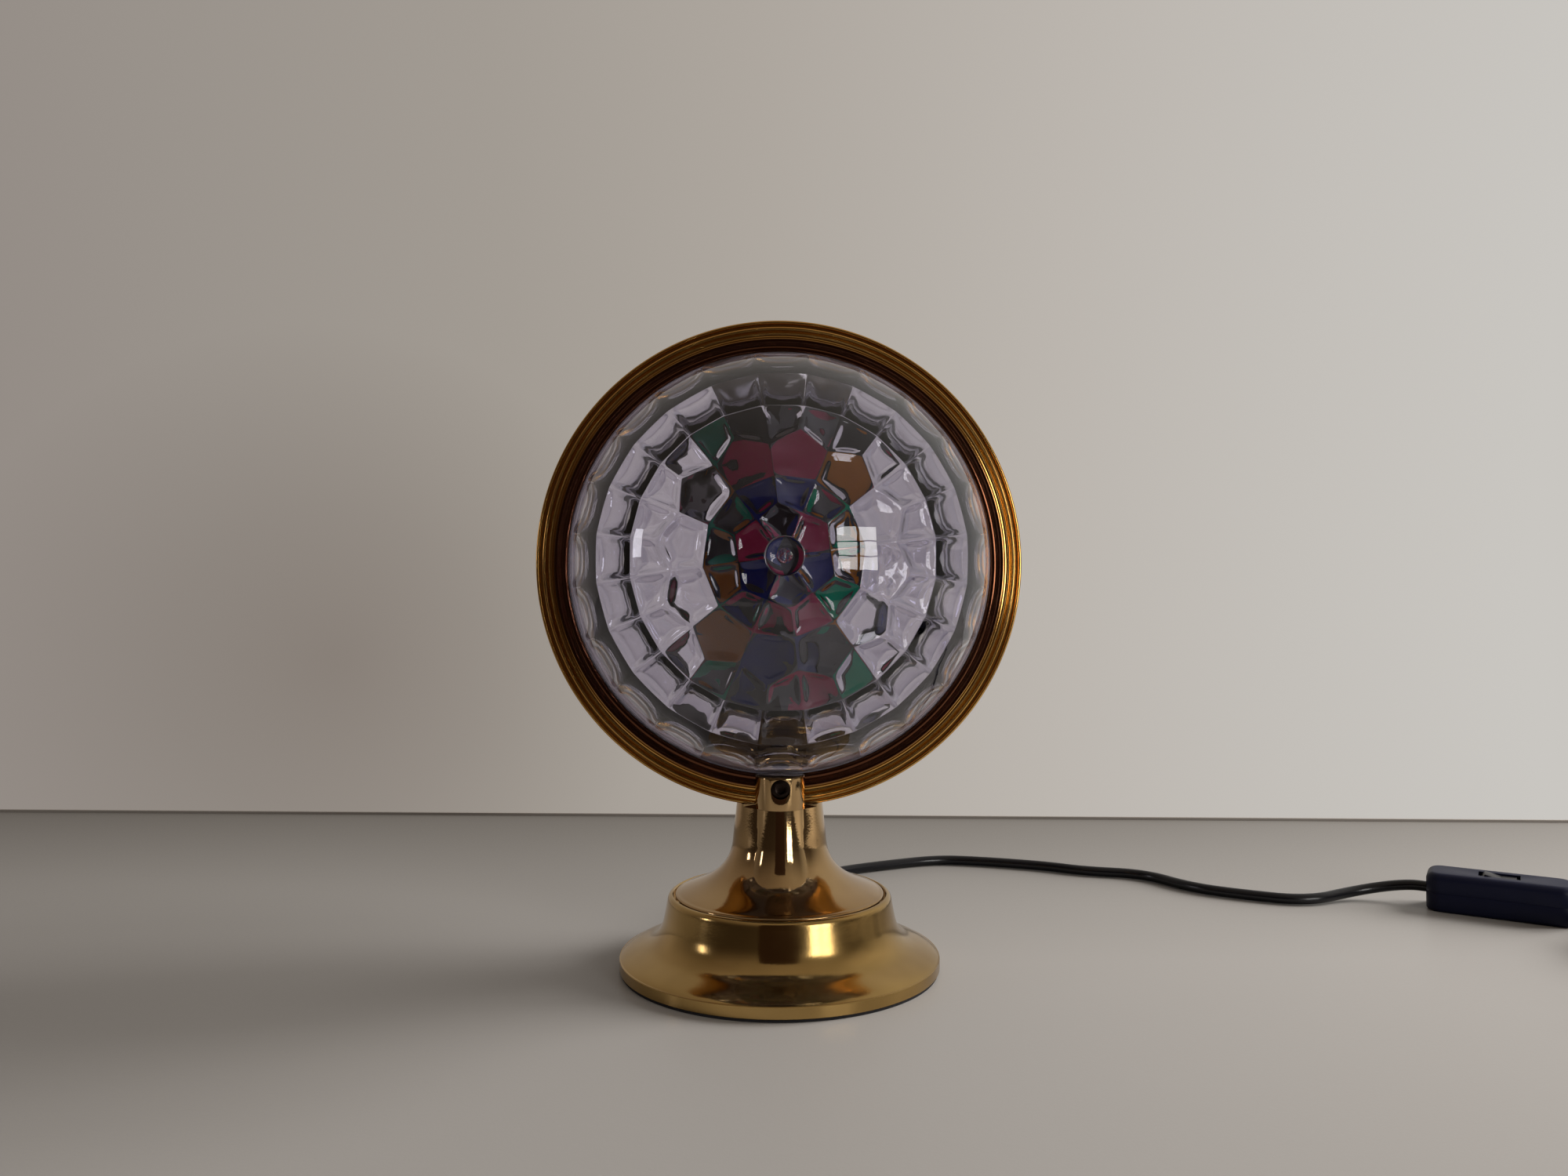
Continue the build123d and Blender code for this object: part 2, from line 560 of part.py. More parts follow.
def bezel():
    """One bezel about its own Z; the face looks along +Z and the seam is at z = 0."""
    face = FACE_DEPTH
    bead_in = RING_RADIUS - 2 * RIM_BEAD
    groove_in = bead_in - GROOVE_WIDTH
    main_in = groove_in - MAIN_BEAD_WIDTH
    step_in = main_in - FACE_STEP_WIDTH
    line_in = step_in - LINE_GROOVE
    wall = Line((RING_RADIUS, 0), (RING_RADIUS, face))
    rim = bead_line(RING_RADIUS, bead_in, face, RIM_BEAD)
    groove = Polyline((bead_in, face), (bead_in, face - 0.5), (groove_in, face - 0.5), (groove_in, face))
    main = bead_line(groove_in, main_in, face, MAIN_BEAD_CROWN)
    step_z = face - 0.4
    step = Polyline((main_in, face), (main_in, step_z), (step_in, step_z), (step_in, step_z - 0.6))
    lip = Polyline(step @ 1, (line_in, step_z - 0.6), (line_in, step_z - 0.2), (LIP_INNER_RADIUS, step_z - 0.2))
    edge = Line(lip @ 1, (LIP_INNER_RADIUS, LIP_BACK_DEPTH))
    inner = RING_RADIUS - RING_WALL
    back = Polyline(edge @ 1, (inner, LIP_BACK_DEPTH), (inner, 0), (RING_RADIUS, 0))
    return turned(wall, rim, groove, main, step, lip, edge, back)


def placed_bezel(place):
    return place * bezel() - clamp_screw_room() - wire_room()


# Lens: a smooth dome outside, planar facets inside
def facet_pyramid(sides, tilt, depth, turn):
    """All facets of one row as a pyramid about Z, from below the flange to its apex."""
    distance = LENS_RADIUS - depth
    foot = -2 * FLANGE_THICKNESS
    slope = math.radians(tilt)
    inner_radius = (distance - foot * math.cos(slope)) / math.sin(slope)
    corner_radius = inner_radius / math.cos(math.pi / sides)
    apex = Vector(0, 0, distance / math.cos(slope))
    corners = []
    for i in range(sides):
        angle = math.radians(turn + (i + 0.5) * 360 / sides)
        corners.append(Vector(corner_radius * math.cos(angle), corner_radius * math.sin(angle), foot))
    faces = [Face(Wire.make_polygon(corners, close=True))]
    for i in range(sides):
        faces.append(Face(Wire.make_polygon([corners[i], corners[(i + 1) % sides], apex], close=True)))
    return Solid(Shell(faces))


def lens():
    """One lens about its own Z, its flange's back face at z = 0 and its apex towards +Z."""
    flange = Polyline((0, 0), (FLANGE_RADIUS, 0), (FLANGE_RADIUS, FLANGE_THICKNESS))
    dome_foot = math.sqrt(LENS_RADIUS**2 - FLANGE_THICKNESS**2)
    face = Line(flange @ 1, (dome_foot, FLANGE_THICKNESS))
    half = math.radians(45)
    dome_mid = (LENS_RADIUS * math.cos(half), LENS_RADIUS * math.sin(half))
    dome = ThreePointArc(face @ 1, dome_mid, (0, LENS_RADIUS))
    body = turned(flange, face, dome, Line((0, LENS_RADIUS), (0, 0)))
    cavity = rod(PLAIN_BORE, LENS_RADIUS, -1)
    for row in zip(FACET_COUNTS, FACET_TILTS, FACET_DEPTHS, FACET_TURNS):
        cavity = cavity & facet_pyramid(*row)
    boss = rod(BOSS_RADIUS, LENS_RADIUS, BOSS_REACH)
    return body - (cavity - boss)


def placed_lens(place, shape):
    return place * Pos(0, 0, FLANGE_BACK) * shape - clamp_screw_room()


# Inner frame, motor, lampholder and bulb
def inner_frame():
    """Flat hoop held between the lens flanges, with a strap across its top and its bottom."""
    thickness = 2 * (FLANGE_BACK - SEAT_GAP)
    hoop = along(0, RING_CENTRE_Z, HOOP_OUTER, -thickness / 2, thickness / 2)
    opening = along(0, RING_CENTRE_Z, HOOP_INNER, -thickness / 2, thickness / 2)
    for foot in (TOP_STRAP_Z, BOTTOM_STRAP_Z):
        strap = block(2 * HOOP_INNER, thickness, STRAP_THICKNESS, foot)
        strap += block(STRAP_WIDE_SPAN, STRAP_WIDTH, STRAP_THICKNESS, foot)
        opening -= strap
    frame = hoop - opening
    for foot in (TOP_STRAP_Z, BOTTOM_STRAP_Z):
        frame += block(STRAP_WIDE_SPAN, STRAP_WIDTH, STRAP_THICKNESS, foot)
    frame -= rod(WIRE_HOLE_RADIUS, STRAP_THICKNESS, BOTTOM_STRAP_Z)
    return frame - clamp_screw_room() - wire_room()


def motor():
    can = rod(MOTOR_RADIUS, MOTOR_HEIGHT - SEAT_GAP, MOTOR_FOOT)
    can = chamfer(can.edges(), MOTOR_EDGE)
    return can + rod(GEARBOX_RADIUS, GEARBOX_HEIGHT, MOTOR_FOOT - GEARBOX_HEIGHT)


def motor_shaft():
    top = MOTOR_FOOT - GEARBOX_HEIGHT - RUN_GAP
    return rod(SHAFT_RADIUS, SHAFT_LENGTH, top - SHAFT_LENGTH)


def lampholder():
    foot = HOLDER_FOOT + SEAT_GAP
    holder = rod(HOLDER_RADIUS, HOLDER_TOP - foot, foot)
    holder = chamfer(holder.edges().group_by(Axis.Z)[-1], HOLDER_EDGE)
    holder += rod(HOLDER_SKIRT_RADIUS, HOLDER_SKIRT_HEIGHT, foot)
    bore_foot = BULB_CAP_FOOT - SEAT_GAP
    return holder - rod(BULB_CAP_RADIUS + RUN_GAP, HOLDER_TOP - bore_foot, bore_foot)


def bulb_cap():
    cap = rod(BULB_CAP_RADIUS, BULB_CAP_HEIGHT, BULB_CAP_FOOT)
    return chamfer(cap.edges().group_by(Axis.Z)[0], BULB_CAP_EDGE)


def bulb_glass():
    foot = BULB_FOOT_Z - BULB_NECK_HEIGHT
    neck = Polyline((0, foot), (BULB_NECK_RADIUS, foot), (BULB_NECK_RADIUS, BULB_FOOT_Z))
    ball = ThreePointArc(neck @ 1, (BULB_RADIUS, BULB_CENTRE_Z), (0, BULB_CENTRE_Z + BULB_RADIUS))
    return turned(neck, ball, Line(ball @ 1, (0, foot)))


# Colour drum
def drum_side(i):
    """Places a plate drawn in X and Z on side i of the drum, with its outer face at y = 0."""
    apothem = DRUM_RADIUS * math.cos(math.pi / DRUM_SIDES)
    return Rot(0, 0, (i + 0.5) * 360 / DRUM_SIDES) * Pos(0, -apothem, 0)


def window_heights(i):
    """Heights of the windows' middles on side i; every other side is half a pitch higher."""
    middle = (DRUM_FOOT_Z + DRUM_TOP_Z) / 2
    count = WINDOW_ROWS - i % 2
    return [middle + WINDOW_PITCH * (k - (count - 1) / 2) for k in range(count)]


def prism(radius, height, foot):
    return Pos(0, 0, foot) * extrude(RegularPolygon(radius, DRUM_SIDES, major_radius=True), height)


def drum_cage():
    height = DRUM_TOP_Z - DRUM_FOOT_Z
    inner = DRUM_RADIUS - DRUM_WALL / math.cos(math.pi / DRUM_SIDES)
    cage = prism(DRUM_RADIUS, height, DRUM_FOOT_Z) - prism(inner, height - DRUM_LID, DRUM_FOOT_Z)
    cage = Rot(0, 0, -90) * cage
    holes = []
    for i in range(DRUM_SIDES):
        for z in window_heights(i):
            holes.append(drum_side(i) * Pos(0, 0, z) * Box(WINDOW_WIDTH, 4 * DRUM_WALL, WINDOW_HEIGHT))
    cage -= holes
    vents = []
    for i in range(VENT_COUNT):
        vent = rod(VENT_RADIUS, 2 * DRUM_LID, DRUM_TOP_Z - 1.5 * DRUM_LID, VENT_CIRCLE)
        vents.append(Rot(0, 0, i * 360 / VENT_COUNT) * vent)
    cage -= vents
    cage += rod(DRUM_HUB_RADIUS, DRUM_HUB_HEIGHT, DRUM_TOP_Z - DRUM_HUB_HEIGHT)
    return cage - rod(SHAFT_RADIUS, DRUM_HUB_HEIGHT, DRUM_TOP_Z - DRUM_HUB_HEIGHT)


def film_panes(colour):
    """The flat film panes of one colour, each behind its own window."""
    panes = []
    for i in range(DRUM_SIDES):
        for row, z in enumerate(window_heights(i)):
            if (i + 2 * row + i // 3) % 4 == colour:
                size = (WINDOW_WIDTH + FILM_OVERLAP, FILM_THICKNESS, WINDOW_HEIGHT + FILM_OVERLAP)
                depth = DRUM_WALL + SEAT_GAP + FILM_THICKNESS / 2
                panes.append(drum_side(i) * Pos(0, depth, z) * Box(*size))
    return panes


# Cord, by hand-chosen points for the middle of the cord
LEAD_POINTS = [
    (0, 74, 13),
    (0, 87, 13),
    (3, 100, 8.6),
    (9, 113, 4.2),
    (20, 127, 2.5),
    (37, 140, 2.5),
    (58.5, 150.6, 2.5),
    (85.6, 161.7, 2.5),
    (106.1, 158.3, 2.5),
    (139.6, 146.5, 2.5),
    (156.6, 134.7, 2.5),
    (185.1, 127.8, 2.5),
    (197.8, 101.3, 2.5),
    (216.5, 88, 2.5),
    (241.5, 75.6, 2.5),
    (267.3, 86.4, 4),
    (282.5, 84.9, 6.8),
]


def switch_point(distance, height):
    """A point on the switch's long axis, measured from the end that faces the lamp."""
    turn = math.radians(SWITCH_TURN)
    return (SWITCH_X + distance * math.cos(turn), SWITCH_Y + distance * math.sin(turn), height)


def corner_radii(points):
    """0.45 of the shorter run over the tangent of half the turn, for each corner."""
    radii = []
    for a, b, c in zip(points, points[1:], points[2:]):
        before = Vector(*b) - Vector(*a)
        after = Vector(*c) - Vector(*b)
        half_turn = math.radians(before.get_angle(after)) / 2
        radii.append(0.45 * min(before.length, after.length) / math.tan(half_turn))
    return radii


def cord_tube(name, points):
    radii = corner_radii(points)
    path = FilletPolyline(*points, radius=radii)
    start = Plane(origin=points[0], z_dir=path % 0)
    tube = sweep(start * Circle(CORD_RADIUS), path=path)
    expected = math.pi * CORD_RADIUS**2 * path.length
    print(name, "radii", [round(r) for r in radii], "length", round(path.length, 1))
    print(name, "volume over section times length", round(tube.volume / expected, 4))
    return tube, path.length


# Coil: quarter-turn arcs that spiral in, climb one layer and spiral out again
def coil_arcs():
    """Each arc as (centre x, centre y, radius, start turn, quarters, rise) from the start."""
    turn = COIL_START_TURN
    radius = COIL_OUTER_RADIUS
    start = math.radians(turn)
    entry = switch_point(SWITCH_LENGTH + LINK_LENGTH, 0)
    x = entry[0] - radius * math.cos(start)
    y = entry[1] - radius * math.sin(start)
    arcs = []
    change = -COIL_PITCH / 4
    steps = [change] * COIL_QUARTERS_IN + ["climb"] + [-change] * COIL_QUARTERS_OUT
    for step in steps:
        quarters = 2 if step == "climb" else 1
        arcs.append((x, y, radius, turn, quarters, COIL_RISE if step == "climb" else 0))
        turn -= 90 * quarters
        if step != "climb":
            joint = math.radians(turn)
            x -= step * math.cos(joint)
            y -= step * math.sin(joint)
            radius += step
    return arcs


def coil_point(arc, share):
    """A point at a share of an arc; the climb's half turn lies in a tilted plane."""
    x, y, radius, turn, quarters, rise = arc
    sweep_angle = math.radians(90 * quarters) * share
    angle = math.radians(turn) - sweep_angle
    base = COIL_HIGH if arc_is_high(arc) else COIL_LOW
    height = base + rise * (1 - math.cos(sweep_angle)) / 2 if rise else base
    return Vector(x + radius * math.cos(angle), y + radius * math.sin(angle), height)


def arc_is_high(arc):
    climb_turn = COIL_START_TURN - 90 * COIL_QUARTERS_IN
    return arc[3] < climb_turn - 1


def coil_ends():
    arcs = coil_arcs()
    first = coil_point(arcs[0], 0)
    last = coil_point(arcs[-1], 1)
    first_turn = math.radians(arcs[0][3])
    last_turn = math.radians(arcs[-1][3] - 90)
    arrive = Vector(math.sin(first_turn), -math.cos(first_turn), 0)
    leave = Vector(math.sin(last_turn), -math.cos(last_turn), 0)
    return first - arrive * CORD_DIAMETER, last + leave * CORD_DIAMETER, leave


def cord_coil():
    arcs = coil_arcs()
    entry, leave_point, leave = coil_ends()
    edges = [Line(entry, coil_point(arcs[0], 0))]
    for arc in arcs:
        edges.append(ThreePointArc(coil_point(arc, 0), coil_point(arc, 0.5), coil_point(arc, 1)))
    edges.append(Line(coil_point(arcs[-1], 1), leave_point))
    path = Wire([edge.edge() for edge in edges])
    start = Plane(origin=entry, z_dir=path % 0)
    section = start * RegularPolygon(CORD_RADIUS, COIL_SIDES, major_radius=True)
    tube = sweep(section, path=path)
    area = COIL_SIDES / 2 * CORD_RADIUS**2 * math.sin(2 * math.pi / COIL_SIDES)
    print("cord_coil volume over section times length", round(tube.volume / (area * path.length), 4))
    print("cord_coil least gap to itself", round(coil_self_gap(arcs), 2))
    return tube, path.length


def coil_self_gap(arcs):
    """Least distance between the surfaces of two turns, over points on the middle line."""
    points = []
    travel = 0.0
    for arc in arcs:
        length = math.pi / 2 * arc[4] * arc[2]
        steps = 12 * arc[4]
        for i in range(steps):
            points.append((travel + length * i / steps, coil_point(arc, i / steps)))
        travel += length
    least = COIL_OUTER_RADIUS
    for i, (along_a, a) in enumerate(points):
        for along_b, b in points[i + 1:]:
            if along_b - along_a > 12 * CORD_DIAMETER:
                least = min(least, (a - b).length)
    return least - CORD_DIAMETER


def coil_tie():
    """A strap round the bundle at one place, a rounded band that stands on the table."""
    arcs = coil_arcs()
    turn = math.radians(TIE_TURN)
    outward = Vector(math.cos(turn), math.sin(turn), 0)
    middle_x = arcs[0][0]
    middle_y = arcs[0][1]
    reaches = []
    for arc in arcs:
        covered = (arc[3] - TIE_TURN) % 360
        if covered < 90 * arc[4]:
            point = coil_point(arc, covered / (90 * arc[4]))
            reaches.append((point - Vector(middle_x, middle_y, 0)).dot(outward))
    inner = min(reaches) - CORD_RADIUS - TIE_SPARE
    outer = max(reaches) + CORD_RADIUS + TIE_SPARE
    low = COIL_LOW - CORD_RADIUS - TIE_SPARE
    high = COIL_HIGH + CORD_RADIUS + TIE_SPARE
    hole = Rectangle(outer - inner, high - low)
    band = Rectangle(outer - inner + 2 * TIE_THICKNESS, high - low + 2 * TIE_THICKNESS)
    band = fillet(band.vertices(), 1.6)
    hole = fillet(hole.vertices(), 1.0)
    centre = Vector(middle_x, middle_y, (low + high) / 2) + outward * (inner + outer) / 2
    across = Vector(-math.sin(turn), math.cos(turn), 0)
    plane = Plane(origin=centre, x_dir=outward, z_dir=across)
    return extrude(plane * (band - hole), TIE_WIDTH / 2, both=True)


# Inline switch
def switch_place():
    middle = switch_point(SWITCH_LENGTH / 2, 0)
    return Pos(*middle) * Rot(0, 0, SWITCH_TURN)


def switch_body():
    plan = RectangleRounded(SWITCH_LENGTH, SWITCH_WIDTH, SWITCH_CORNER)
    body = extrude(plan, SWITCH_HEIGHT)
    body = fillet(body.edges().group_by(Axis.Z)[-1], SWITCH_EDGE)
    body = fillet(body.edges().group_by(Axis.Z)[0], SWITCH_EDGE / 2)
    return body


def switch_inside():
    plan = RectangleRounded(SWITCH_LENGTH - 2 * SWITCH_CORNER, SWITCH_WIDTH - 2 * SWITCH_WALL, SWITCH_CORNER - SWITCH_WALL)
    return Pos(0, 0, SWITCH_WALL) * extrude(plan, SWITCH_HEIGHT - 2 * SWITCH_WALL)


def rocker_pivot_z():
    return SWITCH_HEIGHT - ROCKER_PIVOT_DROP


def across_bar(radius, length):
    """A round bar along the switch's width, on the rocker's pivot."""
    return Pos(0, 0, rocker_pivot_z()) * Rot(90, 0, 0) * Cylinder(radius, length)


def switch_halves():
    body = switch_body() - switch_inside()
    opening = Pos(0, 0, rocker_pivot_z()) * Box(
        2 * (ROCKER_REACH + RUN_GAP), ROCKER_WIDTH + 2 * RUN_GAP, 2 * SWITCH_HEIGHT,
        align=(Align.CENTER, Align.CENTER, Align.MIN))
    lower_cut = block(2 * SWITCH_LENGTH, 2 * SWITCH_WIDTH, SWITCH_HEIGHT, SWITCH_MID)
    lower = body - lower_cut
    upper = body & lower_cut
    cheeks = Pos(0, 0, SWITCH_HEIGHT - 8.0) * Box(
        6.0, ROCKER_WIDTH + 2 * RUN_GAP + 3.6, 7.0, align=(Align.CENTER, Align.CENTER, Align.MIN))
    upper += cheeks
    upper -= opening
    upper -= Pos(0, 0, SWITCH_MID) * Box(
        2 * (ROCKER_REACH + RUN_GAP), ROCKER_WIDTH + 2 * RUN_GAP, SWITCH_HEIGHT,
        align=(Align.CENTER, Align.CENTER, Align.MIN))
    upper -= across_bar(TRUNNION_RADIUS + PIN_GAP, ROCKER_WIDTH + 2 * TRUNNION_LENGTH)
    for end in (-1, 1):
        place = Pos(end * (SWITCH_LENGTH / 2 - 6), 0, 0)
        lower -= place * rod(SCREW_HEAD_RADIUS + BOLT_GAP, 3.0)
        lower -= place * rod(SCREW_RADIUS + BOLT_GAP, SWITCH_MID)
        upper -= place * rod(SCREW_RADIUS, SCREW_LENGTH, 3.0)
    return lower, upper


def switch_screws():
    screws = []
    for end in (-1, 1):
        place = Pos(end * (SWITCH_LENGTH / 2 - 6), 0, 3.0 - SEAT_GAP)
        screws.append(switch_place() * place * slotted_screw(head_up=False))
    return screws


def rocker():
    """A rocker that fills its slot: round ends about the pivot and a dished top."""
    barrel = across_bar(ROCKER_REACH, ROCKER_WIDTH)
    floor_z = rocker_pivot_z() - ROCKER_DEPTH
    slab = block(4 * ROCKER_REACH, 2 * ROCKER_WIDTH, SWITCH_HEIGHT + 1 - floor_z, floor_z)
    body = barrel & slab
    reach = 2 * ROCKER_REACH
    for side in (-1, 1):
        cutter = Pos(0, 0, SWITCH_HEIGHT - ROCKER_DISH) * Rot(0, -side * ROCKER_TILT, 0)
        body -= cutter * Pos(side * reach, 0, reach) * Box(2 * reach + SEAT_GAP, 4 * ROCKER_WIDTH, 2 * reach)
    body += across_bar(TRUNNION_RADIUS, ROCKER_WIDTH + 2 * TRUNNION_LENGTH - 2 * PIN_GAP)
    tilted = Pos(0, 0, rocker_pivot_z()) * Rot(0, ROCKER_TILT, 0) * Pos(0, 0, -rocker_pivot_z()) * body
    return switch_place() * tilted


# Plug
def plug_place():
    return Pos(*tail_points()[-1]) * Rot(0, 0, PLUG_TURN)


def plug_body():
    """Flat two-pin plug with its cord end at x = 0 and its face towards +X."""
    face_x = PLUG_RELIEF_LENGTH + PLUG_LENGTH
    half = PLUG_WIDTH / 2
    nose = PLUG_NOSE_WIDTH / 2
    shoulder_x = PLUG_RELIEF_LENGTH + 0.45 * PLUG_LENGTH
    front = Polyline((shoulder_x, -half), (face_x - 3, -nose), (face_x, -nose + 2), (face_x, nose - 2),
                     (face_x - 3, nose), (shoulder_x, half))
    neck = 0.55 * PLUG_THICKNESS
    upper = Spline(front @ 1, (PLUG_RELIEF_LENGTH + 3, neck + 2), (PLUG_RELIEF_LENGTH - 2, neck - 2))
    across = Line(upper @ 1, (PLUG_RELIEF_LENGTH - 2, -neck + 2))
    lower = Spline(across @ 1, (PLUG_RELIEF_LENGTH + 3, -neck - 2), front @ 0)
    body = extrude(make_face([front, upper, across, lower]), PLUG_THICKNESS / 2, both=True)
    body = chamfer(body.edges().filter_by(GeomType.LINE).group_by(Axis.Z)[-1], 1.0)
    relief = Rot(0, 90, 0) * Cone(CORD_RADIUS + 0.5, PLUG_RELIEF_RADIUS, PLUG_RELIEF_LENGTH,
                                  align=(Align.CENTER, Align.CENTER, Align.MIN))
    body += relief
    for side in (-1, 1):
        body -= Pos(face_x - PIN_SEAT, side * PIN_SPACING / 2, 0) * Rot(0, 90, 0) * rod(PIN_RADIUS, PIN_SEAT)
    return plug_place() * body


def plug_pins():
    face_x = PLUG_RELIEF_LENGTH + PLUG_LENGTH
    pins = []
    for side in (-1, 1):
        pin = fillet(rod(PIN_RADIUS, PIN_SEAT + PIN_LENGTH).edges().group_by(Axis.Z)[-1], 0.8 * PIN_RADIUS)
        place = Pos(face_x - PIN_SEAT, side * PIN_SPACING / 2, 0) * Rot(0, 90, 0)
        pins.append(plug_place() * place * pin)
    return pins


# Free stretches of cord beside the switch, the coil and the plug
def link_points():
    end = SWITCH_LENGTH
    coil_start = LINK_LENGTH - CORD_DIAMETER - SEAT_GAP
    stops = [(0, SWITCH_MID), (10.5, SWITCH_MID), (29, COIL_LOW), (coil_start, COIL_LOW)]
    return [switch_point(end + distance, height) for distance, height in stops]


def tail_points():
    """From the coil's end to the plug, turning as much at each of two corners."""
    _, start, leave = coil_ends()
    leave_turn = math.degrees(math.atan2(leave.Y, leave.X)) % 360
    points = [start + leave * SEAT_GAP]
    middle_turn = (leave_turn + PLUG_TURN) / 2
    fall = (PLUG_MID - COIL_HIGH) / TAIL_MIDDLE
    for turn, length, slope in ((leave_turn, TAIL_END, 0), (middle_turn, TAIL_MIDDLE, fall), (PLUG_TURN, TAIL_END, 0)):
        step = Vector(math.cos(math.radians(turn)), math.sin(math.radians(turn)), slope)
        points.append(points[-1] + step * length)
    return [tuple(point) for point in points]


def together(solids):
    return Compound(children=list(solids))


def build():
    save(base_shell(), "base_shell")
    save(base_weight(), "base_weight")
    save(cover_plate(), "cover_plate")
    save(felt_pad(), "felt_pad")
    save(together(deck_screws()), "deck_screws")
    save(together(cover_screws()), "cover_screws")
    save(cord_relief(), "cord_relief")
    save(stop_pin(), "stop_pin")
    save(washer(DECK_TOP), "swivel_washer")
    save(washer(nut_top() + SEAT_GAP), "friction_washer")
    save(swivel_nut(), "swivel_nut")
    save(nipple(), "stem_nipple")
    save(stem(), "stem")
    save(cheek(-1), "front_cheek")
    save(cheek(1), "rear_cheek")
    save(clamp_screw(), "clamp_screw")
    save(placed_bezel(FRONT), "front_bezel")
    save(placed_bezel(REAR), "rear_bezel")
    lens_shape = lens()
    save(placed_lens(FRONT, lens_shape), "front_lens")
    save(placed_lens(REAR, lens_shape), "rear_lens")
    save(inner_frame(), "inner_frame")
    save(motor(), "motor")
    save(motor_shaft(), "motor_shaft")
    save(lampholder(), "lampholder")
    save(bulb_cap(), "bulb_cap")
    save(bulb_glass(), "bulb_glass")
    save(drum_cage(), "drum_cage")
    for number, colour in enumerate(("red", "green", "blue", "amber")):
        save(together(film_panes(number)), colour + "_film")
    lead_end = [switch_point(-6.5, SWITCH_MID), switch_point(0, SWITCH_MID)]
    lead, lead_length = cord_tube("cord_lead", LEAD_POINTS + lead_end)
    link, link_length = cord_tube("cord_link", link_points())
    coil, coil_length = cord_coil()
    tail, tail_length = cord_tube("cord_tail", tail_points())
    total = lead_length + SWITCH_LENGTH + link_length + coil_length + tail_length
    print("whole cord", round(total), "of it coil", round(coil_length))
    save(lead, "cord_lead")
    save(link, "cord_link")
    save(coil, "cord_coil")
    save(tail, "cord_tail")
    save(coil_tie(), "coil_tie")
    lower, upper = switch_halves()
    save(switch_place() * lower, "switch_lower")
    save(switch_place() * upper, "switch_upper")
    save(together(switch_screws()), "switch_screws")
    save(rocker(), "switch_rocker")
    save(plug_body(), "plug_body")
    save(together(plug_pins()), "plug_pins")


build()
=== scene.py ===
# %% [markdown]
# # A table-top mood light in Blender
# The real lamp is a clear plastic ball, faceted on the inside, held in a brass ring. The ring
# is clamped in the fork of a brass stem, and the stem turns on a spun brass base. A colour drum
# turns round a bulb inside the ball. The solid model is loaded first and stays as it is; this
# lesson gives it its finishes and remodels the pieces whose polish or glass needs more care.
# %% Load the solid model
import json
import math

import bpy
from mathutils import Matrix, Vector

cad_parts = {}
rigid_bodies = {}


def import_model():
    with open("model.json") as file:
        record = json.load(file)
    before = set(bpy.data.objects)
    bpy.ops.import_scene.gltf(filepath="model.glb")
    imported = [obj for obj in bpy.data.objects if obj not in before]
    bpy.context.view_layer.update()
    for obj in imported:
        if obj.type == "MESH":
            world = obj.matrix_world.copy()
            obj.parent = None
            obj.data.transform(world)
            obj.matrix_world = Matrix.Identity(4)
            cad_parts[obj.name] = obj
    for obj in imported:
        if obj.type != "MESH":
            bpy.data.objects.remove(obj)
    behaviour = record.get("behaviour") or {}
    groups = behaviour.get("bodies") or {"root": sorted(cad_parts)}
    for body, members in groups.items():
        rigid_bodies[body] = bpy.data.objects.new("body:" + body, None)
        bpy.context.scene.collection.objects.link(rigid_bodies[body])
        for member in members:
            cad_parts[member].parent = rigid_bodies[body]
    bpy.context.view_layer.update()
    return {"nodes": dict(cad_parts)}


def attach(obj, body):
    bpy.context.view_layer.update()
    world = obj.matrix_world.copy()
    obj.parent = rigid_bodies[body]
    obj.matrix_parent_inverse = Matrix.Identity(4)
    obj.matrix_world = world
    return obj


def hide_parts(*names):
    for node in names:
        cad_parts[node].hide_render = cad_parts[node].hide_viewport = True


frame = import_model()
CAD = frame["nodes"]
print("solid pieces:", len(CAD))

# %% [markdown]
# ## The camera
# The photograph was taken with a short lens from less than half a metre away, a little below
# the ball's centre. The camera is set up first, because every other choice is judged through it.
# %% Camera
PHOTO_WIDTH = 2000
FOCAL_LENGTH_IN_PIXELS = 1450
SENSOR_WIDTH = 36.0
camera_data = bpy.data.cameras.new("camera")
camera_data.sensor_width = SENSOR_WIDTH
camera_data.lens = SENSOR_WIDTH * FOCAL_LENGTH_IN_PIXELS / PHOTO_WIDTH
camera_data.clip_start = 0.01
camera_data.clip_end = 20.0
camera = bpy.data.objects.new("camera", camera_data)
camera.location = (-0.0091, -0.4355, 0.1396)
camera.rotation_euler = (math.radians(90.55), 0, math.radians(-1.42))
bpy.context.scene.collection.objects.link(camera)
bpy.context.scene.camera = camera
bpy.context.scene.view_settings.view_transform = "Standard"
print("lens", round(camera_data.lens, 1), "mm")

# %% [markdown]
# ## The cord
# A round rubber mains cord leaves the base at the back, lies on the table in one loose wave and
# goes through the inline switch. What the photograph doesn't show is put away in a neat coil of
# two layers, held by a strap, before the plug. All of it is one NURBS curve with a round bevel:
# the points are listed one by one along its route, and the coil's turns follow a spiral.
# %% Cord: the route
# The lamp's sizes are in millimetres, times MM; those of the room are in metres
MM = 0.001
CORD_DIAMETER = 4.8
BASE_TO_SWITCH = [
    (0, 74, 13), (0, 87, 13), (3, 100, 8.6), (9, 113, 4.2), (20, 127, 2.5), (37, 140, 2.5),
    (58.5, 150.6, 2.5), (85.6, 161.7, 2.5), (106.1, 158.3, 2.5), (139.6, 146.5, 2.5),
    (156.6, 134.7, 2.5), (185.1, 127.8, 2.5), (197.8, 101.3, 2.5), (216.5, 88, 2.5),
    (241.5, 75.6, 2.5), (267.3, 86.4, 4), (282.5, 84.9, 6.8), (291.6, 80.6, 8.5),
]
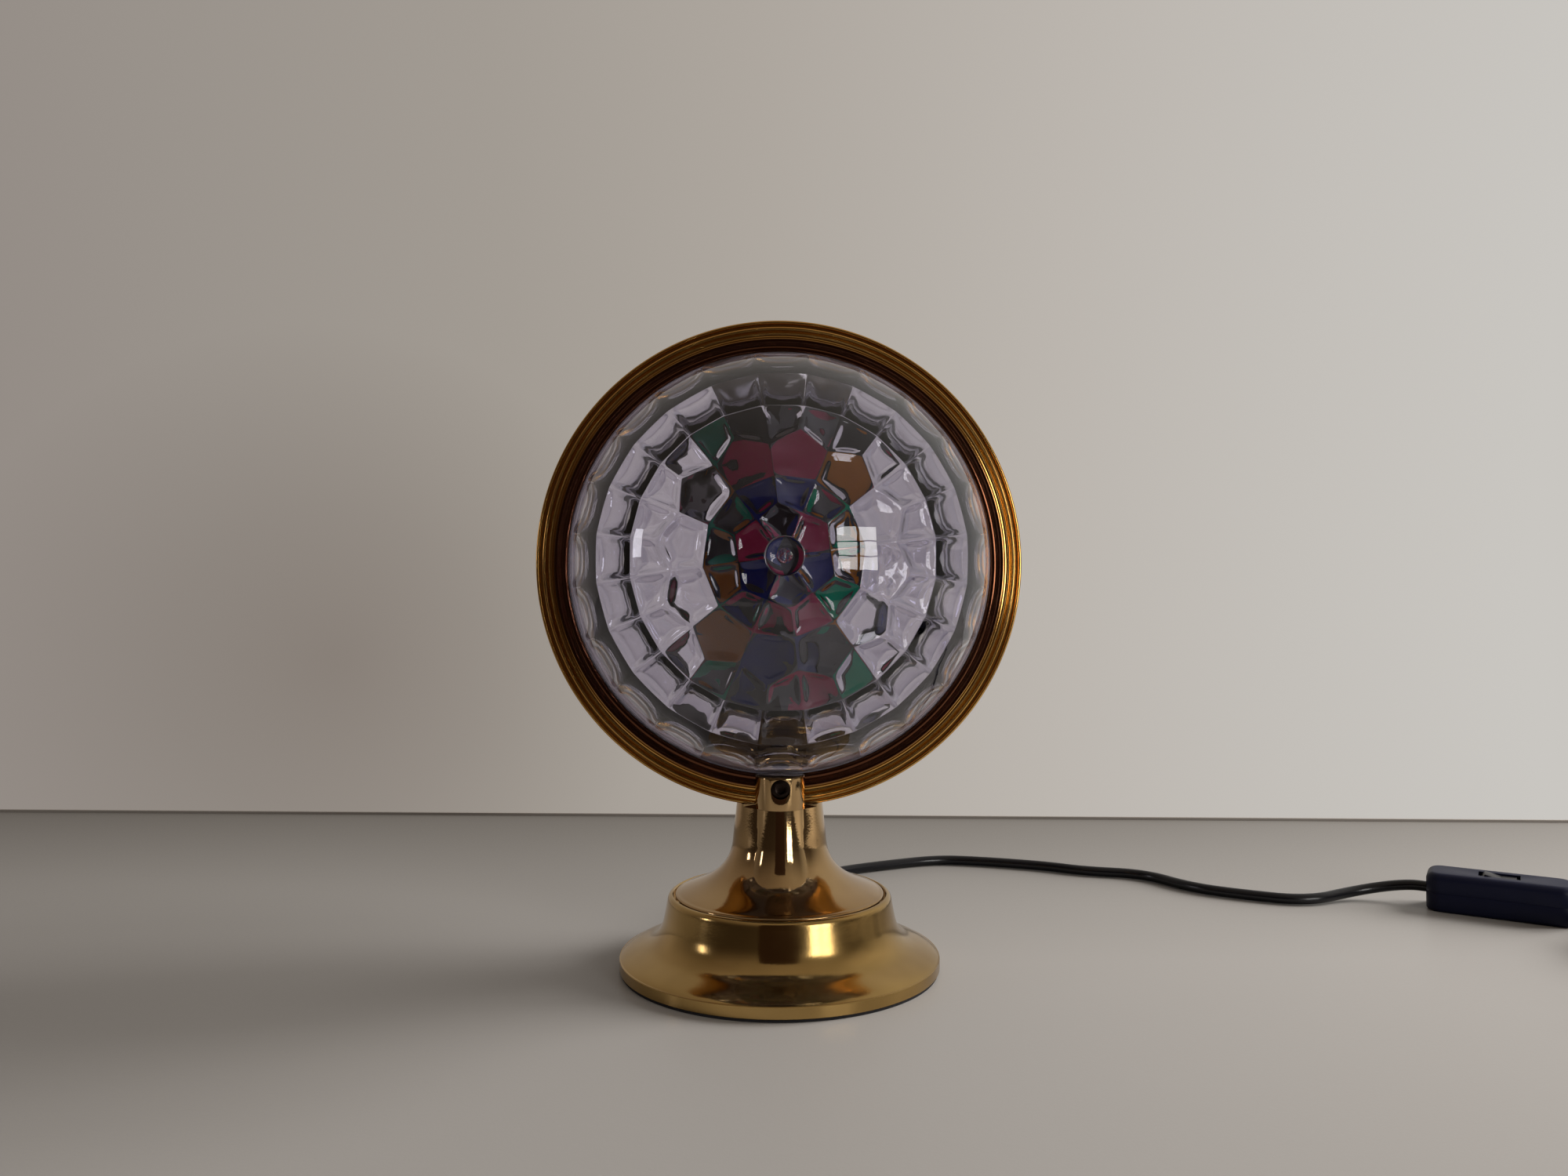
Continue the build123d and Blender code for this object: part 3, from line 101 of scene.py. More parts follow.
THROUGH_SWITCH = [(297, 77, 8.5), (305.3, 71.4, 8.2), (313.6, 65.8, 4.4), (326.8, 56.9, 4.4),
                  (335.1, 51.3, 8.2), (343.4, 45.7, 8.5)]
SWITCH_TO_COIL = [(352.1, 39.8, 8.5), (367.5, 29.5, 3.6)]
COIL_TO_PLUG = [(387.9, -37.8, 9.2), (380.6, -48.6, 9.2), (365.1, -59.6, 6.9),
                (352.6, -63.0, 6.9)]
COIL_MIDDLE = (358.93, -11.45)
COIL_RADIUS = 38.757
COIL_START_ANGLE = 56.0
COIL_LAYERS = (3.55, 9.15)
COIL_PITCH = 6.0
QUARTERS_IN, QUARTERS_UP, QUARTERS_OUT = 13, 2, 14
STEPS_A_QUARTER = 4


def coil_points():
    """Control points of a spiral: in on the lower layer, up in half a turn, out on the upper."""
    points = []
    lower, upper = COIL_LAYERS
    # The curve runs a little inside its control points, so these lie further out
    spread = 1 / (0.75 + 0.25 * math.cos(math.pi / 2 / STEPS_A_QUARTER))
    for i in range((QUARTERS_IN + QUARTERS_UP + QUARTERS_OUT) * STEPS_A_QUARTER + 1):
        quarter = i / STEPS_A_QUARTER
        inward = min(quarter, QUARTERS_IN)
        climbed = min(max(quarter - QUARTERS_IN, 0.0) / QUARTERS_UP, 1.0)
        outward = max(0.0, quarter - QUARTERS_IN - QUARTERS_UP)
        radius = COIL_RADIUS + COIL_PITCH / 4 * (outward - inward - climbed)
        height = lower + (upper - lower) * (1 - math.cos(math.pi * climbed)) / 2
        angle = math.radians(COIL_START_ANGLE - 90 * quarter)
        points.append((COIL_MIDDLE[0] + spread * radius * math.cos(angle),
                       COIL_MIDDLE[1] + spread * radius * math.sin(angle), height))
    return points


route = BASE_TO_SWITCH + THROUGH_SWITCH + SWITCH_TO_COIL + coil_points() + COIL_TO_PLUG
print("cord points", len(route))

# %% Cord: the curve
cord_curve = bpy.data.curves.new("mains_cord", "CURVE")
cord_curve.dimensions = "3D"
cord_curve.bevel_depth = CORD_DIAMETER / 2 * MM
cord_curve.bevel_resolution = 6
cord_curve.resolution_u = 8
cord_curve.use_fill_caps = True
spline = cord_curve.splines.new("NURBS")
spline.points.add(len(route) - 1)
for point, place in zip(spline.points, route):
    point.co = (place[0] * MM, place[1] * MM, place[2] * MM, 1)
spline.order_u = 3
spline.use_endpoint_u = True
mains_cord = bpy.data.objects.new("mains_cord", cord_curve)
bpy.context.scene.collection.objects.link(mains_cord)


def line_length(curve_object):
    """The length of a curve's own middle line, read from a copy with no bevel."""
    bare = curve_object.copy()
    bare.data = curve_object.data.copy()
    bare.data.bevel_depth = 0
    bpy.context.scene.collection.objects.link(bare)
    evaluated = bare.evaluated_get(bpy.context.evaluated_depsgraph_get())
    mesh = bpy.data.meshes.new_from_object(evaluated)
    places = [v.co.copy() for v in mesh.vertices]
    bpy.data.objects.remove(bare)
    return sum((b - a).length for a, b in zip(places, places[1:]))


cord_length = line_length(mains_cord)
print("cord length", round(cord_length, 3), "m")

# %% [markdown]
# ## Finishes
# Each finish is one material built from nodes that read object coordinates, so a pattern has a
# real size in millimetres and stays where it is on the piece. Colours are given as web colours,
# and Blender mixes light in linear values, so one function converts them. Another one adds a
# shader node with its settings and links.
# %% Helpers for finishes
def colour(code):
    """A web colour as Blender's linear red, green and blue, with alpha."""
    parts = [int(code[i:i + 2], 16) / 255 for i in (1, 3, 5)]
    linear = [c / 12.92 if c <= 0.04045 else ((c + 0.055) / 1.055) ** 2.4 for c in parts]
    return (*linear, 1.0)


def link(owner, source, output, target, name):
    """Links a node's output to another node's input, in a material or in the world."""
    owner.node_tree.links.new(source.outputs[output], target.inputs[name])


def add(owner, kind, links=(), **settings):
    """Adds a node; settings are its options or inputs, links are (input, other node, output)."""
    new = owner.node_tree.nodes.new(kind)
    for name, value in settings.items():
        if hasattr(new, name):
            setattr(new, name, value)
        else:
            new.inputs[name.replace("_", " ")].default_value = value
    for name, other, output in links:
        link(owner, other, output, new, name)
    return new


def start_material(name):
    """A material with its Principled shader, which each finish then sets up."""
    material = bpy.data.materials.new(name)
    material.use_nodes = True
    return material, material.node_tree.nodes["Principled BSDF"]


print("helpers for finishes ready")

# %% [markdown]
# ### Brass
# Base, stem and ring have a polished brass plating, rubbed dull in patches by cleaning and
# specked with tarnish. A picture of brass wrapped round them would smear on the curves. Noise
# that fills space runs through every shape alike, so the dull patches, the fine lines of
# polishing and the specks are all made of it.
# %% Finish: brass plating, polished and rubbed dull in patches
STREAK_DEPTH = 0.05
TARNISH = "#5a4028"


def brass(name, metal, dull_metal, polish, dullness, streaks):
    """Plated brass. Cloudy patches rub it dull, fine streaks run round it, specks tarnish it."""
    material, shader = start_material(name)
    place = add(material, "ShaderNodeTexCoord")
    # Dull patches about 45 mm across: a scale of 22 is 22 of them in a metre
    cloud = add(material, "ShaderNodeTexNoise", [("Vector", place, "Object")], Scale=22, Detail=3)
    # Polishing lines about 8 mm long. Real ones are finer; these are as coarse as they need to
    # be to show, 1 to 3 mm apart
    stretch = add(material, "ShaderNodeMapping", [("Vector", place, "Object")],
                  Scale=(120, 120, streaks))
    brushed = add(material, "ShaderNodeTexNoise", [("Vector", stretch, "Vector")],
                  Scale=1, Detail=3)
    # Grain of the plating, 0.7 mm; a real one is finer and wouldn't show
    grain = add(material, "ShaderNodeTexNoise", [("Vector", place, "Object")],
                Scale=1400, Detail=1)
    # Specks less than a millimetre wide, about 9 mm apart
    speck = add(material, "ShaderNodeTexVoronoi", [("Vector", place, "Object")], Scale=110)
    patches = add(material, "ShaderNodeMapRange", [("Value", cloud, "Fac")],
                  From_Min=0.35, From_Max=0.7)
    rough = add(material, "ShaderNodeMapRange", [("Value", patches, "Result")],
                To_Min=polish, To_Max=dullness)
    uneven = add(material, "ShaderNodeMath", [(0, brushed, "Fac"), (2, rough, "Result")],
                 operation="MULTIPLY_ADD")
    uneven.inputs[1].default_value = STREAK_DEPTH
    tone = add(material, "ShaderNodeMix", [("Factor", patches, "Result")], data_type="RGBA",
               A=colour(metal), B=colour(dull_metal))
    spot = add(material, "ShaderNodeMapRange", [("Value", speck, "Distance")],
               From_Min=0.02, From_Max=0.05, To_Min=1, To_Max=0)
    spots_here = add(material, "ShaderNodeMath", [(0, spot, "Result"), (1, patches, "Result")],
                     operation="MULTIPLY")
    stained = add(material, "ShaderNodeMix",
                  [("Factor", spots_here, "Value"), ("A", tone, "Result")],
                  data_type="RGBA", B=colour(TARNISH))
    bump = add(material, "ShaderNodeBump", [("Height", grain, "Fac")],
               Strength=0.05, Distance=0.0002)
    link(material, stained, "Result", shader, "Base Color")
    link(material, uneven, "Value", shader, "Roughness")
    link(material, bump, "Normal", shader, "Normal")
    shader.inputs["Metallic"].default_value = 1.0
    return material


# The base is satin, with soft-edged highlights
plated_base = brass("plated brass, satin base", "#c3a267", "#a1824d",
                    polish=0.06, dullness=0.2, streaks=900)
# The stem is polished further and mirrors the windows more sharply
plated_stem = brass("plated brass, polished stem", "#c0a072", "#a08056",
                    polish=0.04, dullness=0.16, streaks=900)
# The ring's lacquer makes its brass look deeper and redder
lacquered_ring = brass("lacquered brass ring", "#e2b366", "#b98740",
                       polish=0.07, dullness=0.2, streaks=300)

# %% Finish: painted shade on the ring's inner lip
LENS_AXIS_Z = 153.2


def lens_axis_reach(material):
    """A node that gives each point's distance from the lens axis, in metres."""
    place = add(material, "ShaderNodeTexCoord")
    centre = add(material, "ShaderNodeMapping", [("Vector", place, "Object")],
                 Location=(0, 0, -LENS_AXIS_Z * MM), Scale=(1, 0, 1))
    return add(material, "ShaderNodeVectorMath", [("Vector", centre, "Vector")],
               operation="LENGTH")


def paint_lip_shade(material):
    """Painted shade on the ring's inner lip: inside 85 mm from the lens axis its brass turns dark
    brown.
    """
    shader = material.node_tree.nodes["Principled BSDF"]
    polished = shader.inputs["Base Color"].links[0].from_node
    reach = lens_axis_reach(material)
    outside = add(material, "ShaderNodeMapRange", [("Value", reach, "Value")],
                  From_Min=0.0846, From_Max=0.0852)
    shade = add(material, "ShaderNodeMix",
                [("Factor", outside, "Result"), ("B", polished, "Result")],
                data_type="RGBA", A=colour("#68432f"))
    link(material, shade, "Result", shader, "Base Color")


# Painted shade where the beads and the dome shade the ring's lip
paint_lip_shade(lacquered_ring)
print("brass finishes ready")

# %% [markdown]
# ### Clear polystyrene
# The ball is moulded in clear polystyrene, with a trace of lavender in it. Full transmission
# would do for the facets alone, but on the real ball the thick rim is milky and the flange is
# matt, so the distance from the lens axis decides how much light passes.
# %% Finish: clear polystyrene
MOULD_RING_PITCH = 0.0011


def clear_polystyrene():
    """Moulded clear polystyrene, a trace of lavender, milky where it is thick near the rim. Its
    flange is matt, with rings from turning the mould, and each pole has the gate's rough spot."""
    material, shader = start_material("clear moulded polystyrene")
    place = add(material, "ShaderNodeTexCoord")
    reach = lens_axis_reach(material)
    # The flange begins at the dome's edge, 79 mm from the axis; the rim is milky from 70 mm on
    flange = add(material, "ShaderNodeMapRange", [("Value", reach, "Value")],
                 From_Min=0.0788, From_Max=0.0794)
    milky = add(material, "ShaderNodeMapRange", [("Value", reach, "Value")],
                From_Min=0.07, From_Max=0.0775, To_Min=1.0, To_Max=0.88)
    matt = add(material, "ShaderNodeMapRange",
               [("Value", flange, "Result"), ("To Min", milky, "Result")], To_Max=0.78)
    turns = add(material, "ShaderNodeMath", [(0, reach, "Value")], operation="MULTIPLY")
    turns.inputs[1].default_value = math.tau / MOULD_RING_PITCH
    rings = add(material, "ShaderNodeMath", [(0, turns, "Value")], operation="SINE")
    flange_rings = add(material, "ShaderNodeMath", [(0, rings, "Value"), (1, flange, "Result")],
                       operation="MULTIPLY")
    # Slow ripples of the moulding, 10 mm long
    ripple = add(material, "ShaderNodeTexNoise", [("Vector", place, "Object")],
                 Scale=95, Detail=2)
    # The gate is where the plastic entered the mould: a spot 4 mm across, with crumbs of 1 mm
    gate = add(material, "ShaderNodeMapRange", [("Value", reach, "Value")],
               From_Min=0.0019, From_Max=0.0024, To_Min=1.0, To_Max=0.0)
    crumbs = add(material, "ShaderNodeTexNoise", [("Vector", place, "Object")],
                 Scale=1100, Detail=2)
    rough_spot = add(material, "ShaderNodeMath", [(0, gate, "Result"), (1, crumbs, "Fac")],
                     operation="MULTIPLY")
    soft = add(material, "ShaderNodeBump", [("Height", ripple, "Fac")],
               Strength=0.12, Distance=0.0006)
    turned = add(material, "ShaderNodeBump",
                 [("Height", flange_rings, "Value"), ("Normal", soft, "Normal")],
                 Strength=0.6, Distance=0.0001)
    spot = add(material, "ShaderNodeBump",
               [("Height", rough_spot, "Value"), ("Normal", turned, "Normal")],
               Strength=0.8, Distance=0.0004)
    link(material, spot, "Normal", shader, "Normal")
    link(material, matt, "Result", shader, "Transmission Weight")
    shader.inputs["Base Color"].default_value = colour("#f3f2fd")
    shader.inputs["Roughness"].default_value = 0.02
    shader.inputs["IOR"].default_value = 1.57
    return material


polystyrene = clear_polystyrene()
print("clear finish ready")

# %% [markdown]
# ### Plastics, rubber, felt, iron and steel
# The cord is rubber, the switch and the plug are dark blue mouldings, the drum and the lampholder
# black ones. Nylon, felt, iron and most of the steel are out of sight. Each could have its own
# nodes, but they differ only in colour, gloss and grain, so two functions make them all.
# %% Finish: plastics, rubber, felt and iron
def moulded(name, code, second, roughness, grain_mm, bump_strength, coat=0.0, specular=0.5):
    """Anything moulded, pressed or cast: a fine grain and a slow change of tone and gloss."""
    material, shader = start_material(name)
    place = add(material, "ShaderNodeTexCoord")
    # The grain is 0.4 to 1.5 mm, coarser than on real plastic or rubber, so that it shows
    grain = add(material, "ShaderNodeTexNoise", [("Vector", place, "Object")],
                Scale=1000 / grain_mm, Detail=2)
    # The tone changes over about 33 mm
    cloud = add(material, "ShaderNodeTexNoise", [("Vector", place, "Object")], Scale=30, Detail=3)
    tone = add(material, "ShaderNodeMix", [("Factor", cloud, "Fac")], data_type="RGBA",
               A=colour(code), B=colour(second))
    rough = add(material, "ShaderNodeMapRange", [("Value", cloud, "Fac")],
                To_Min=roughness - 0.07, To_Max=roughness + 0.07)
    bump = add(material, "ShaderNodeBump", [("Height", grain, "Fac")],
               Strength=bump_strength, Distance=0.0001)
    link(material, tone, "Result", shader, "Base Color")
    link(material, rough, "Result", shader, "Roughness")
    link(material, bump, "Normal", shader, "Normal")
    shader.inputs["Coat Weight"].default_value = coat
    shader.inputs["Specular IOR Level"].default_value = specular
    return material


# Extruded rubber: near black, with one long soft highlight along the cord
cord_rubber = moulded("black cord rubber", "#05060b", "#090a11", 0.24, 0.5, 0.1, specular=0.45)
# Moulded in an etched mould, so its dark blue hardly shines
switch_plastic = moulded("dark blue moulded switch", "#080c22", "#0c1230", 0.46, 0.4, 0.25,
                         specular=0.22)
# The rocker and the lampholder are a little glossier
black_plastic = moulded("black moulded plastic", "#101014", "#17171c", 0.42, 0.5, 0.2)
# The drum's bars are dull and read as gaps between the colours
drum_plastic = moulded("black drum plastic", "#0a0a0e", "#121218", 0.5, 0.6, 0.2)
# Nylon without dye is a waxy, yellowish white
natural_nylon = moulded("natural nylon", "#d8d4c8", "#cfcabc", 0.45, 0.6, 0.2)
# Felt is fibre and has no highlight at all
pressed_felt = moulded("pressed black felt", "#141316", "#1d1b1f", 0.9, 1.2, 0.8)
# Opal glass is white in its depth and glossy on top
opal_glass = moulded("opal bulb glass", "#efece4", "#e9e5da", 0.2, 1.0, 0.05, coat=0.5)
# Sand-cast iron is dark and grainy
cast_iron = moulded("cast iron weight", "#2c2a28", "#37332f", 0.7, 1.5, 0.8)
print("plastics ready")

# %% Finish: steel
def steel(name, code, roughness):
    """Zinc-plated or plain sheet steel with the fine lines of rolling."""
    material, shader = start_material(name)
    place = add(material, "ShaderNodeTexCoord")
    # Lines 1.1 mm apart and 17 mm long, coarser than real ones so that they show
    stretch = add(material, "ShaderNodeMapping", [("Vector", place, "Object")],
                  Scale=(900, 900, 60))
    lines = add(material, "ShaderNodeTexNoise", [("Vector", stretch, "Vector")],
                Scale=1, Detail=2)
    rough = add(material, "ShaderNodeMapRange", [("Value", lines, "Fac")],
                To_Min=roughness - 0.08, To_Max=roughness + 0.1)
    bump = add(material, "ShaderNodeBump", [("Height", lines, "Fac")],
               Strength=0.1, Distance=0.0001)
    link(material, rough, "Result", shader, "Roughness")
    link(material, bump, "Normal", shader, "Normal")
    shader.inputs["Base Color"].default_value = colour(code)
    shader.inputs["Metallic"].default_value = 1.0
    return material


# Zinc is a cool grey with blurred reflections
zinc_steel = steel("zinc-plated steel", "#b4b2aa", 0.32)
# A motor can is bare drawn steel, darker than zinc
motor_steel = steel("drawn motor can", "#8d8a86", 0.36)
# The hoop's plating is pale and dull, and lightens the ball from inside
pale_steel = steel("pale dull-plated hoop", "#dcdae4", 0.62)
# Blackened steel is dark brown with a soft shine
blackened_steel = steel("blackened steel screw", "#2c2420", 0.3)
print("steels ready")

# %% [markdown]
# ### Colour films
# The drum's windows are covered with thin dyed film in red, green, dark blue and amber. With the
# bulb off hardly any light comes through, so it needn't be clear like glass. An opaque, deep
# colour with a faint highlight is what the lenses show, and it renders without noise.
# %% Finish: colour films
def film(name, code, depth):
    """Thin dyed film behind the drum's windows, deep in colour."""
    material, shader = start_material(name)
    place = add(material, "ShaderNodeTexCoord")
    # The dye is uneven over about 17 mm
    wave = add(material, "ShaderNodeTexNoise", [("Vector", place, "Object")], Scale=60, Detail=2)
    tone = add(material, "ShaderNodeMix", [("Factor", wave, "Fac")], data_type="RGBA",
               A=colour(code), B=colour(depth))
    link(material, tone, "Result", shader, "Base Color")
    shader.inputs["Roughness"].default_value = 0.25
    shader.inputs["Specular IOR Level"].default_value = 0.15
    return material


FILMS = {
    "red_film": film("red film", "#a52b50", "#7a1c38"),
    "green_film": film("green film", "#0d8c5e", "#0a6c5e"),
    "blue_film": film("blue film", "#152466", "#101a4a"),
    "amber_film": film("amber film", "#ae6c28", "#85501e"),
}
print("film finishes ready")

# %% [markdown]
# ## Turned pieces
# The base, the stem and the ring were spun or turned, so in Blender they are lathed too: half
# the outline is drawn as a line of points and the Spin tool turns it once round. Curved parts of
# an outline are short Bezier curves, which need only their ends and two handles. An operator
# acts on all that is selected, so everything else is deselected first.
# %% The lathe
def deselect():
    if bpy.context.object and bpy.context.object.mode != "OBJECT":
        bpy.ops.object.mode_set(mode="OBJECT")
    bpy.ops.object.select_all(action="DESELECT")


def activate(piece):
    """Selects one piece and nothing else, so that the next operator acts on it."""
    deselect()
    piece.select_set(True)
    bpy.context.view_layer.objects.active = piece


def edit(piece):
    """Opens one piece in edit mode with everything on it selected."""
    activate(piece)
    bpy.ops.object.mode_set(mode="EDIT")
    bpy.ops.mesh.select_all(action="SELECT")


def leave_edit():
    bpy.ops.object.mode_set(mode="OBJECT")


def bezier(p0, p1, p2, p3, steps):
    """Points on a Bezier curve, without its first point."""
    points = []
    for i in range(1, steps + 1):
        t = i / steps
        weights = (1 - t) ** 3, 3 * t * (1 - t) ** 2, 3 * t * t * (1 - t), t ** 3
        points.append(tuple(sum(w * p[k] for w, p in zip(weights, (p0, p1, p2, p3)))
                            for k in (0, 1)))
    return points


def upright(radius, height):
    return (radius, 0.0, height)


def lathe(name, outline, steps, to_place=upright, centre=(0, 0, 0), axis=(0, 0, 1)):
    """Spins an outline once round; to_place turns (radius, along) into a point in metres."""
    mesh = bpy.data.meshes.new(name)
    places = [to_place(r * MM, a * MM) for r, a in outline]
    mesh.from_pydata(places, [(i, i + 1) for i in range(len(places) - 1)], [])
    piece = bpy.data.objects.new(name, mesh)
    bpy.context.scene.collection.objects.link(piece)
    edit(piece)
    bpy.ops.mesh.spin(steps=steps, angle=math.tau, center=centre, axis=axis)
    bpy.ops.mesh.select_all(action="SELECT")
    bpy.ops.mesh.remove_doubles(threshold=0.000004)
    bpy.ops.mesh.normals_make_consistent(inside=False)
    leave_edit()
    return piece


print("lathe ready")

# %% [markdown]
# ## The base
# The base is spun from sheet brass: a short rim, a shallow shoulder, a deep cove and an almost
# straight neck that rolls over into a lip round the turning cap. It is lathed as one closed wall,
# because the gap beside the cap shows the lip's inner side and the deck below it.
# %% Base
def smooth(piece, degrees=32):
    """Shades a piece smooth and keeps the edges that turn by more than this angle."""
    activate(piece)
    bpy.ops.object.shade_smooth_by_angle(angle=math.radians(degrees))


def dress(piece, material):
    """Gives a piece its one finish."""
    piece.data.materials.clear()
    piece.data.materials.append(material)


base_outline = [(59.3, 1.0), (60.3, 1.0), (60.6, 1.3), (60.6, 5.0), (60.4, 5.3), (60.1, 5.3)]
base_outline += bezier((60.1, 5.3), (58.3, 6.8), (54.8, 7.9), (51.6, 9.2), 12)
base_outline += bezier((51.6, 9.2), (47.4, 10.9), (45.1, 14.0), (44.0, 18.5), 20)
base_outline += bezier((44.0, 18.5), (43.4, 21.4), (43.0, 23.6), (42.6, 26.0), 8)
base_outline += bezier((42.6, 26.0), (42.4, 27.4), (41.6, 28.0), (40.7, 28.0), 8)
base_outline += [(40.4, 27.6), (40.4, 24.6), (5.1, 24.6), (5.1, 23.3), (41.2, 23.3)]
base_outline += bezier((41.2, 23.3), (41.9, 19.0), (43.0, 8.2), (52.0, 6.1), 16)
base_outline += [(59.3, 3.9), (59.3, 1.0)]
base_skin = lathe("spun_base", base_outline, 192)
smooth(base_skin)
dress(base_skin, plated_base)
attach(base_skin, "base")
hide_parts("base_shell")
print("base faces", len(base_skin.data.polygons))

# %% [markdown]
# ## The stem
# The stem is a flared cap and a column in one turning. Two round posts with spread feet stand on
# the flare, one in front and one behind, and carry the fork. The ring sits in a saddle between
# them, so a cylinder as large as the ring is cut from the column's top.
# %% Stem
POST_OFFSET = 10
POST_TOP = 61.8
POST_INNER_FACE = 8.95
SEAT_RADIUS = 91.55
WIRE_WAY_RADIUS = 3.0
stem_outline = [(0.0, 27.0), (38.2, 27.0), (38.8, 26.95)]
stem_outline += bezier((38.8, 26.95), (39.9, 27.1), (39.9, 28.3), (38.8, 28.5), 8)
stem_outline += [(38.3, 28.55)]
stem_outline += bezier((38.3, 28.55), (36.6, 29.5), (32.0, 31.0), (28.0, 33.2), 10)
stem_outline += bezier((28.0, 33.2), (22.2, 36.6), (18.6, 41.0), (17.9, 47.5), 16)
stem_outline += bezier((17.9, 47.5), (17.4, 53.0), (16.7, 58.0), (16.3, 62.9), 8)
stem_outline += [(0.0, 62.9)]
stem_piece = lathe("turned_stem", stem_outline, 160)


def settle(piece):
    """Moves a primitive's place, turn and size into its mesh."""
    activate(piece)
    bpy.ops.object.transform_apply(location=True, rotation=True, scale=True)


def apply_all(piece):
    """Applies every modifier of a piece."""
    activate(piece)
    for modifier in list(piece.modifiers):
        bpy.ops.object.modifier_apply(modifier=modifier.name)


def cutter_box(name, low, high):
    """A box between two corners, in millimetres."""
    deselect()
    size = [(b - a) * MM for a, b in zip(low, high)]
    middle = [(a + b) / 2 * MM for a, b in zip(low, high)]
    bpy.ops.mesh.primitive_cube_add(size=1, location=middle, scale=size)
    box = bpy.context.object
    box.name = name
    settle(box)
    return box


def bar(name, radius, low, high, vertices):
    """A round bar between two points, in millimetres."""
    deselect()
    a, b = Vector(low) * MM, Vector(high) * MM
    bpy.ops.mesh.primitive_cylinder_add(vertices=vertices, radius=radius * MM,
                                        depth=(b - a).length, location=(a + b) / 2)
    rod = bpy.context.object
    rod.name = name
    rod.rotation_mode = "QUATERNION"
    rod.rotation_quaternion = (b - a).to_track_quat("Z", "Y")
    settle(rod)
    return rod


def boolean(piece, tool, operation):
    """Joins or cuts a piece with a tool, which is then removed."""
    step = piece.modifiers.new("cut", "BOOLEAN")
    step.operation = operation
    step.solver = "EXACT"
    step.object = tool
    apply_all(piece)
    bpy.data.objects.remove(tool)


post_outline = [(0.0, 32.4), (17.8, 32.4), (17.8, 32.9)]
post_outline += bezier((17.8, 32.9), (15.6, 34.6), (12.0, 39.0), (10.2, 48.0), 18)
post_outline += [(9.3, POST_TOP), (0.0, POST_TOP)]
for side in (-1, 1):
    post = lathe("post", post_outline, 96)
    post.location.y = side * POST_OFFSET * MM
    settle(post)
    boolean(stem_piece, post, "UNION")
    near, far = sorted((side * POST_INNER_FACE, side * 30))
    trim = cutter_box("trim", (-30, near, POST_TOP), (30, far, 70))
    boolean(stem_piece, trim, "DIFFERENCE")
seat = bar("ring_seat", SEAT_RADIUS, (0, -POST_INNER_FACE, LENS_AXIS_Z),
           (0, POST_INNER_FACE, LENS_AXIS_Z), 256)
boolean(stem_piece, seat, "DIFFERENCE")
boolean(stem_piece, bar("wire_way", WIRE_WAY_RADIUS, (0, 0, 25), (0, 0, 70), 32), "DIFFERENCE")
smooth(stem_piece)
dress(stem_piece, plated_stem)
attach(stem_piece, "head")
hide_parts("stem")
print("stem faces", len(stem_piece.data.polygons))

# %% [markdown]
# ## The ring
# Two rolled bezels hold the lenses. Each has a half-round bead at its rim, a groove, a broad
# bead and a stepped lip that reaches the dome; the fine steps read as dark lines. The outline is
# lathed about the lens axis, which lies along Y.
# %% Ring
ring_outline = [(90.3, 0.0), (91.4, 0.0), (91.5, 0.1), (91.5, 7.3)]
# Bead at the rim, then a groove
ring_outline += bezier((91.5, 7.3), (91.4, 8.25), (90.2, 8.25), (90.1, 7.3), 8)
ring_outline += [(90.05, 6.8), (89.35, 6.8), (89.3, 7.3)]
# Broad bead, then a hollow
ring_outline += bezier((89.3, 7.3), (88.9, 9.4), (87.7, 9.4), (87.3, 7.3), 12) + [(87.2, 7.0)]
ring_outline += bezier((87.2, 7.0), (86.8, 6.3), (86.2, 6.1), (85.6, 6.3), 6) + [(85.4, 6.6)]
# The lip's two steps, down to the dome
ring_outline += bezier((85.4, 6.6), (85.0, 7.1), (83.9, 7.1), (83.3, 6.6), 8)
ring_outline += [(83.0, 6.1), (82.4, 5.7)]
ring_outline += bezier((82.4, 5.7), (82.0, 6.2), (80.6, 6.2), (80.1, 5.7), 8)
ring_outline += [(79.9, 5.5), (79.9, 5.2), (90.3, 5.2), (90.3, 0.0)]
for name, facing in (("front_bezel", -1), ("rear_bezel", 1)):
    bezel = lathe(name + "_rolled", ring_outline, 288,
                  lambda r, a, s=facing: (r, s * a, LENS_AXIS_Z * MM),
                  (0, 0, LENS_AXIS_Z * MM), (0, 1, 0))
    smooth(bezel)
    dress(bezel, lacquered_ring)
    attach(bezel, "head")
    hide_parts(name)
print("ring faces", len(bezel.data.polygons))

# %% [markdown]
# ## The lenses
# Each lens is a smooth dome outside and a bowl of facets inside. The bowl is cut as a gem cutter
# would: a prism of 24 flats is bisected by one plane after another, each with its tilt and its
# distance from the ball's centre, and what is left has the facets. The moulded grooves between
# them are slightly round, so they get a narrow bevel.
# %% Lens: cutting the facets
BOWL_SIDES = 24
BOWL_RADIUS = 76.5
BOWL_BOTTOM, BOWL_TOP = -1, 81
GROOVE_WIDTH = 0.3
GROOVE_ANGLE = 4.5
